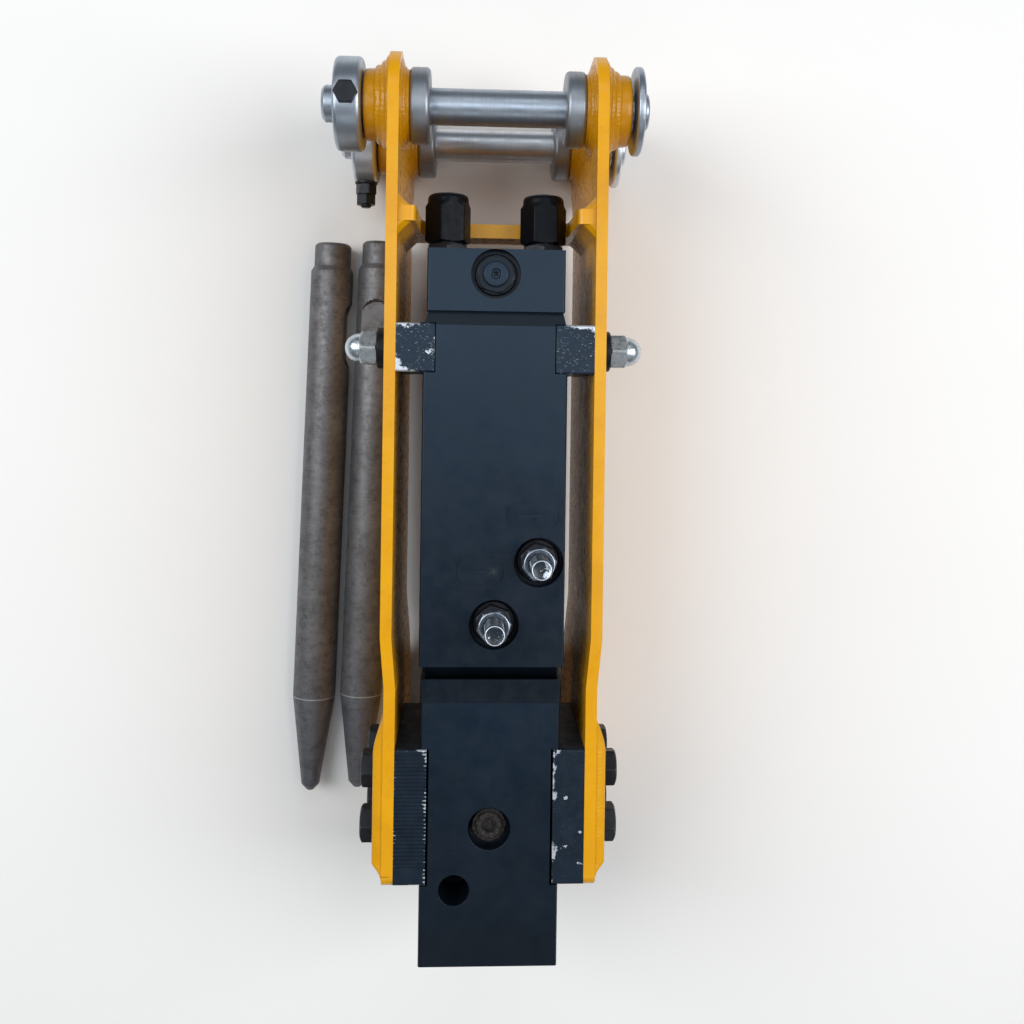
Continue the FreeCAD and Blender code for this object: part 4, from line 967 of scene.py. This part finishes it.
for node, wear in KEY_SHEEN_AND_WEAR.items():
    softened(node, chipped_key("paint_" + node, *span(node), *wear), 0.45)


# ---- pins ----
BOLT_AXIS = {"arm": Vector((0, 0, 1)), "link": Vector((0, 1, 0))}
COLLAR = (-131.5, -109.2)
COLLAR_FLAT = 36.0


def pin_shaft(pin, z):
    """Pin with centre drillings in its ends and its head disc, rounded as turned on a lathe."""
    disc_r = 36.0
    shape = turned([
        (-140.6, 0.0), (-140.6, 1.6), (-142.8, 3.4), (-143.0, 12.4), (-140.4, PIN_R), (111.5, PIN_R),
        (111.5, disc_r - 1.4), (112.8, disc_r), (116.8, disc_r), (118.0, disc_r - 1.2), (118.0, 15.2),
        (122.6, PIN_R), (124.0, 13.6), (123.8, 3.6), (121.4, 1.6), (121.4, 0.0),
    ], (PIN_Y, z), "X", segments=180, edge=0.7)
    stand_in(pin + "_shaft", shape, PIN_STEEL[pin], pin + "_pin")


def pin_collar(pin, z):
    """Collar with rounded rims."""
    low, high = COLLAR
    rim = 37.9
    profile = [(low, PIN_R), (low, rim - 3.1), (low + 0.9, rim - 1.0), (low + 3.0, rim), (high - 3.0, rim),
               (high - 0.9, rim - 1.0), (high, rim - 3.1), (high, PIN_R)]
    shape = turned(profile, (PIN_Y, z), "X", segments=240, edge=0.9, loop=True)
    stand_in(pin + "_round_collar", shape, PIN_STEEL[pin], pin + "_pin_collar")


def across(shape, pin, z, side):
    """Turns a piece made along +X from 0 to point out of the collar along its bolt axis."""
    points, faces = shape
    turn = Vector((1, 0, 0)).rotation_difference(BOLT_AXIS[pin] * side)
    centre = Vector((sum(COLLAR) / 2, PIN_Y, z))
    return [tuple(centre + turn @ Vector(p)) for p in points], faces


def collar_fasteners(pin, z):
    """Cross bolt through collar and pin, with a washer, a nut and a lock nut."""
    f, across_flats, corner, bolt_r, hole_r = COLLAR_FLAT, 17.0, 9.9, 5.0, 5.1
    top = f + 6.35
    head = turned([(f, 0.0), (f, 9.0), (f + 0.4, corner), (f + 5.4, corner), (top, 8.0), (top, 0.0)],
                  (0, 0), "X", across_flats, 90, edge=0.35)
    shank = turned([(-f - 25, 0.0), (-f - 25, 3.8), (-f - 23.6, bolt_r), (f, bolt_r)],
                   (0, 0), "X", segments=48, edge=0.3)
    stand_in(pin + "_cross_bolt", across(joined(head, shank), pin, z, 1), OXIDE, pin + "_pin_bolt")
    washer = [(f, hole_r), (f, 10.2), (f + 0.4, 10.5), (f + 2.5, 10.5), (f + 3.0, 10.0), (f + 3.0, hole_r)]
    nuts = [turned(washer, (0, 0), "X", edge=0.3, loop=True)]
    start = f + 3.05
    for height, turn in ((9.9, 8.0), (9.4, 24.0)):
        end = start + height
        nuts.append(turned([(start, hole_r), (start, 8.2), (start + 0.9, corner), (end - 1.0, corner),
                            (end, 8.2), (end, hole_r)], (0, 0), "X", across_flats, turn, edge=0.4))
        start = end + 0.1
    stand_in(pin + "_cross_nuts", across(joined(*nuts), pin, z, -1), OXIDE, pin + "_pin_nuts")


def bosses_and_bushes(pin, z):
    """Flanged bushes, and the boss tubes that hold them in the plates."""
    bosses = []
    bore, inner, flange, outer = 15.1, 55.0, 71.0, 108.0
    for side, name in ((1, "right"), (-1, "left")):
        bush = turned([
            (inner, bore), (inner, 28.8), (inner + 1.4, 30.4), (inner + 3, 31.0), (flange - 2.4, 31.0),
            (flange - 0.6, 30.2), (flange, 28.8), (flange, BUSH_R), (outer - 0.1, BUSH_R),
            (outer - 0.1, bore),
        ], (PIN_Y, z), "X", segments=180, edge=0.8, loop=True)
        bosses.append(on_side(side, turned([
            (flange + 0.05, BUSH_R), (flange + 0.05, 28.4), (flange + 1, BOSS_R), (outer - 4, BOSS_R),
            (outer - 1.4, 28.6), (outer, 27.4), (outer, BUSH_R),
        ], (PIN_Y, z), "X", segments=180, edge=0.8, loop=True)))
        stand_in(pin + "_turned_bush_" + name, on_side(side, bush), BUSH_STEEL[pin], pin + "_bush_" + name)
    stand_in(pin + "_boss_tubes", joined(*bosses), BOSS_PAINT, pin + "_bosses")


for pin, z in PIN_Z.items():
    pin_shaft(pin, z)
    pin_collar(pin, z)
    collar_fasteners(pin, z)
    bosses_and_bushes(pin, z)


# ---- fasteners ----
M18_FLATS = 27.0


def key_bolts():
    """The eight bolts of the lower keys, each head turned its own way."""
    shapes = []
    seat, top, shank_r = 91.5, 91.5 + 11.45, 9.0
    turns = iter((30, 24, 37, 31, 28, 35, 30, 22))
    for side in (-1, 1):
        for y in (100.0, 144.5):
            for z in (-32.0, 32.0):
                head = turned([(seat, 0.0), (seat, 12.6), (seat + 0.5, 12.9), (seat + 0.7, 15.4),
                               (seat + 9.6, 15.4), (top, 12.0), (top, 0.0)],
                              (y, z), "X", M18_FLATS, next(turns), 120, 0.6)
                shank = turned([(54.6, 0.0), (54.6, shank_r), (seat, shank_r)], (y, z), "X", segments=48)
                shapes.append(on_side(side, joined(head, shank)))
    stand_in("key_bolt_set", joined(*shapes), OXIDE, "lower_key_bolts")


def dome_nuts():
    """Dome nuts and black spacers on the ends of the upper keys' studs."""
    spacers, nuts = [], []
    seat, tall, dome_r, spacer_r, hole_r = PLATE_OUT + 10.5, 27.0, 12.2, 17.0, 9.6
    at = (484.5, 0)
    for side in (-1, 1):
        spacer = turned([(PLATE_OUT, hole_r), (PLATE_OUT, spacer_r - 0.4), (PLATE_OUT + 0.6, spacer_r),
                         (seat - 0.8, spacer_r), (seat, spacer_r - 0.8), (seat, hole_r)],
                        at, "X", segments=120, loop=True)
        centre = seat + tall - dome_r
        profile = [(seat, 9.1), (seat, 13.6), (seat + 0.9, 15.5), (seat + 11.8, 15.5), (seat + 13.4, 13.6),
                   (seat + 13.9, 12.3), (centre, dome_r)]
        profile += [(centre + dome_r * math.sin(a), dome_r * math.cos(a))
                    for a in [math.pi / 2 * k / 14 for k in range(1, 15)]]
        spacers.append(on_side(side, spacer))
        nuts.append(on_side(side, turned(profile, at, "X", M18_FLATS, 30, 144, 0.4)))
    stand_in("key_stud_spacers", joined(*spacers), SPACER_DARK, "upper_key_spacers")
    stand_in("domed_nuts", joined(*nuts), ZINC, "dome_nuts")


key_bolts()
dome_nuts()


# ---- chisels ----
def chisel(name, node, top, lean, roll):
    """Moil point chisel, turned along -Y from its top, with its long retainer flat milled in."""
    length, cone, neck, neck_r, radius = 526.0, 91.0, 22.0, 17.25, TOOL_R
    low, high, depth = 58.0, 118.0, 5.5         # the flat, from the top, and how deep it is milled
    row_step = 1.5
    profile = [(-length, 0.0), (-length, 3.0), (-length + 6, 8.5), (-length + cone, radius)]
    profile += [(-high - 10.0 + row_step * k, radius) for k in range(56)]
    profile += [(-neck - 5, radius), (-neck - 1.2, neck_r + 0.6), (-neck, neck_r), (-2.5, neck_r),
                (0, neck_r - 2.5), (0, 0.0)]
    points, faces = turned(profile, (0, 0), "Y", segments=200, edge=1.2)
    flat = radius - depth
    half = math.sqrt(radius ** 2 - flat ** 2) + 0.5
    turn = Matrix.Rotation(math.radians(-lean), 4, "Z") @ Matrix.Rotation(math.radians(roll), 4, "Y")
    place_at = Vector((*top, PLATE_FOOT_Z + radius))
    out = []
    for x, y, z in points:
        if z > flat:
            nearest = min(max(y, -high + half), -low - half)
            outside = math.hypot(x, y - nearest) - half
            z = min(z, flat + 6.0 * max(0.0, outside))
        out.append(tuple(place_at + turn @ Vector((x, y, z))))
    stand_in(name, (out, faces), forged_steel(name + "_steel", top, lean, length - cone), node, sharp=30.0)


chisel("outer_chisel", "chisel_outer", (-153.4, 589.8), 1.65, 90.0)
chisel("inner_chisel", "chisel_inner", (-108.0, 592.3), 1.7, 0.0)


# ---- floor, light, camera ----
def floor():
    """Pale seamless floor just under the object."""
    size, middle_y, z = 6000.0, 350, PLATE_FOOT_Z - 0.6
    steps = 24
    row = steps + 1
    points = [(size * (i / steps - 0.5), size * (j / steps - 0.5) + middle_y, z)
              for j in range(row) for i in range(row)]
    corners = [j * row + i for j in range(steps) for i in range(steps)]
    faces = [[k, k + 1, k + row + 1, k + row] for k in corners]
    mesh = bpy.data.meshes.new("floor")
    mesh.from_pydata([tuple(c * MM for c in p) for p in points], [], faces)
    p = Paint("floor_paint")
    tone = p.mix(p.noise(3, 3), (0.84, 0.81, 0.78), (0.88, 0.85, 0.82))
    mesh.materials.append(p.finish(tone, 0.85, specular=0.2))
    piece = bpy.data.objects.new("floor", mesh)
    bpy.context.collection.objects.link(piece)


def lamp(name, place_at, aim, size, power, colour=(1, 1, 1)):
    light = bpy.data.lights.new(name, "AREA")
    light.shape = "RECTANGLE"
    light.size, light.size_y = size
    light.energy = power
    light.color = colour
    piece = bpy.data.objects.new(name, light)
    piece.location = place_at
    piece.rotation_euler = (Vector(aim) - Vector(place_at)).to_track_quat("-Z", "Y").to_euler()
    bpy.context.collection.objects.link(piece)


floor()
lamp("left_panel", (-1.7, 0.9, 2.1), (0, 0.4, 0), (1.5, 2.2), 52, (0.93, 0.97, 1.0))
lamp("right_panel", (1.7, 0.5, 2.1), (0, 0.35, 0), (1.5, 2.2), 55, (0.97, 0.985, 1.0))
lamp("far_panel", (0.1, 2.3, 2.2), (0, 0.4, 0), (2.0, 1.0), 8, (0.92, 0.97, 1.0))
lamp("near_panel", (0.0, -1.7, 2.1), (0, 0.3, 0), (2.0, 1.0), 5, (0.92, 0.97, 1.0))
lamp("top_panel", (-0.1, 0.72, 2.3), (-0.1, 0.6, 0), (1.1, 0.5), 4.5, (0.78, 0.89, 1.0))

world = bpy.data.worlds.new("studio")
bpy.context.scene.world = world
world.use_nodes = True
world.node_tree.nodes["Background"].inputs["Color"].default_value = (0.72, 0.85, 1.0, 1)
world.node_tree.nodes["Background"].inputs["Strength"].default_value = 0.12

bpy.context.scene.view_settings.view_transform = "Standard"

camera = bpy.data.cameras.new("camera")
camera.sensor_width = 36.0
camera.lens = 36.0 * 1097.5 / 1024
camera.shift_x = -0.0171
camera.shift_y = -0.1162
eye = bpy.data.objects.new("camera", camera)
eye.location = (-0.018, 0.448, 0.924)
eye.rotation_euler = (0, math.radians(-3.0), math.radians(0.8))
bpy.context.collection.objects.link(eye)
bpy.context.scene.camera = eye
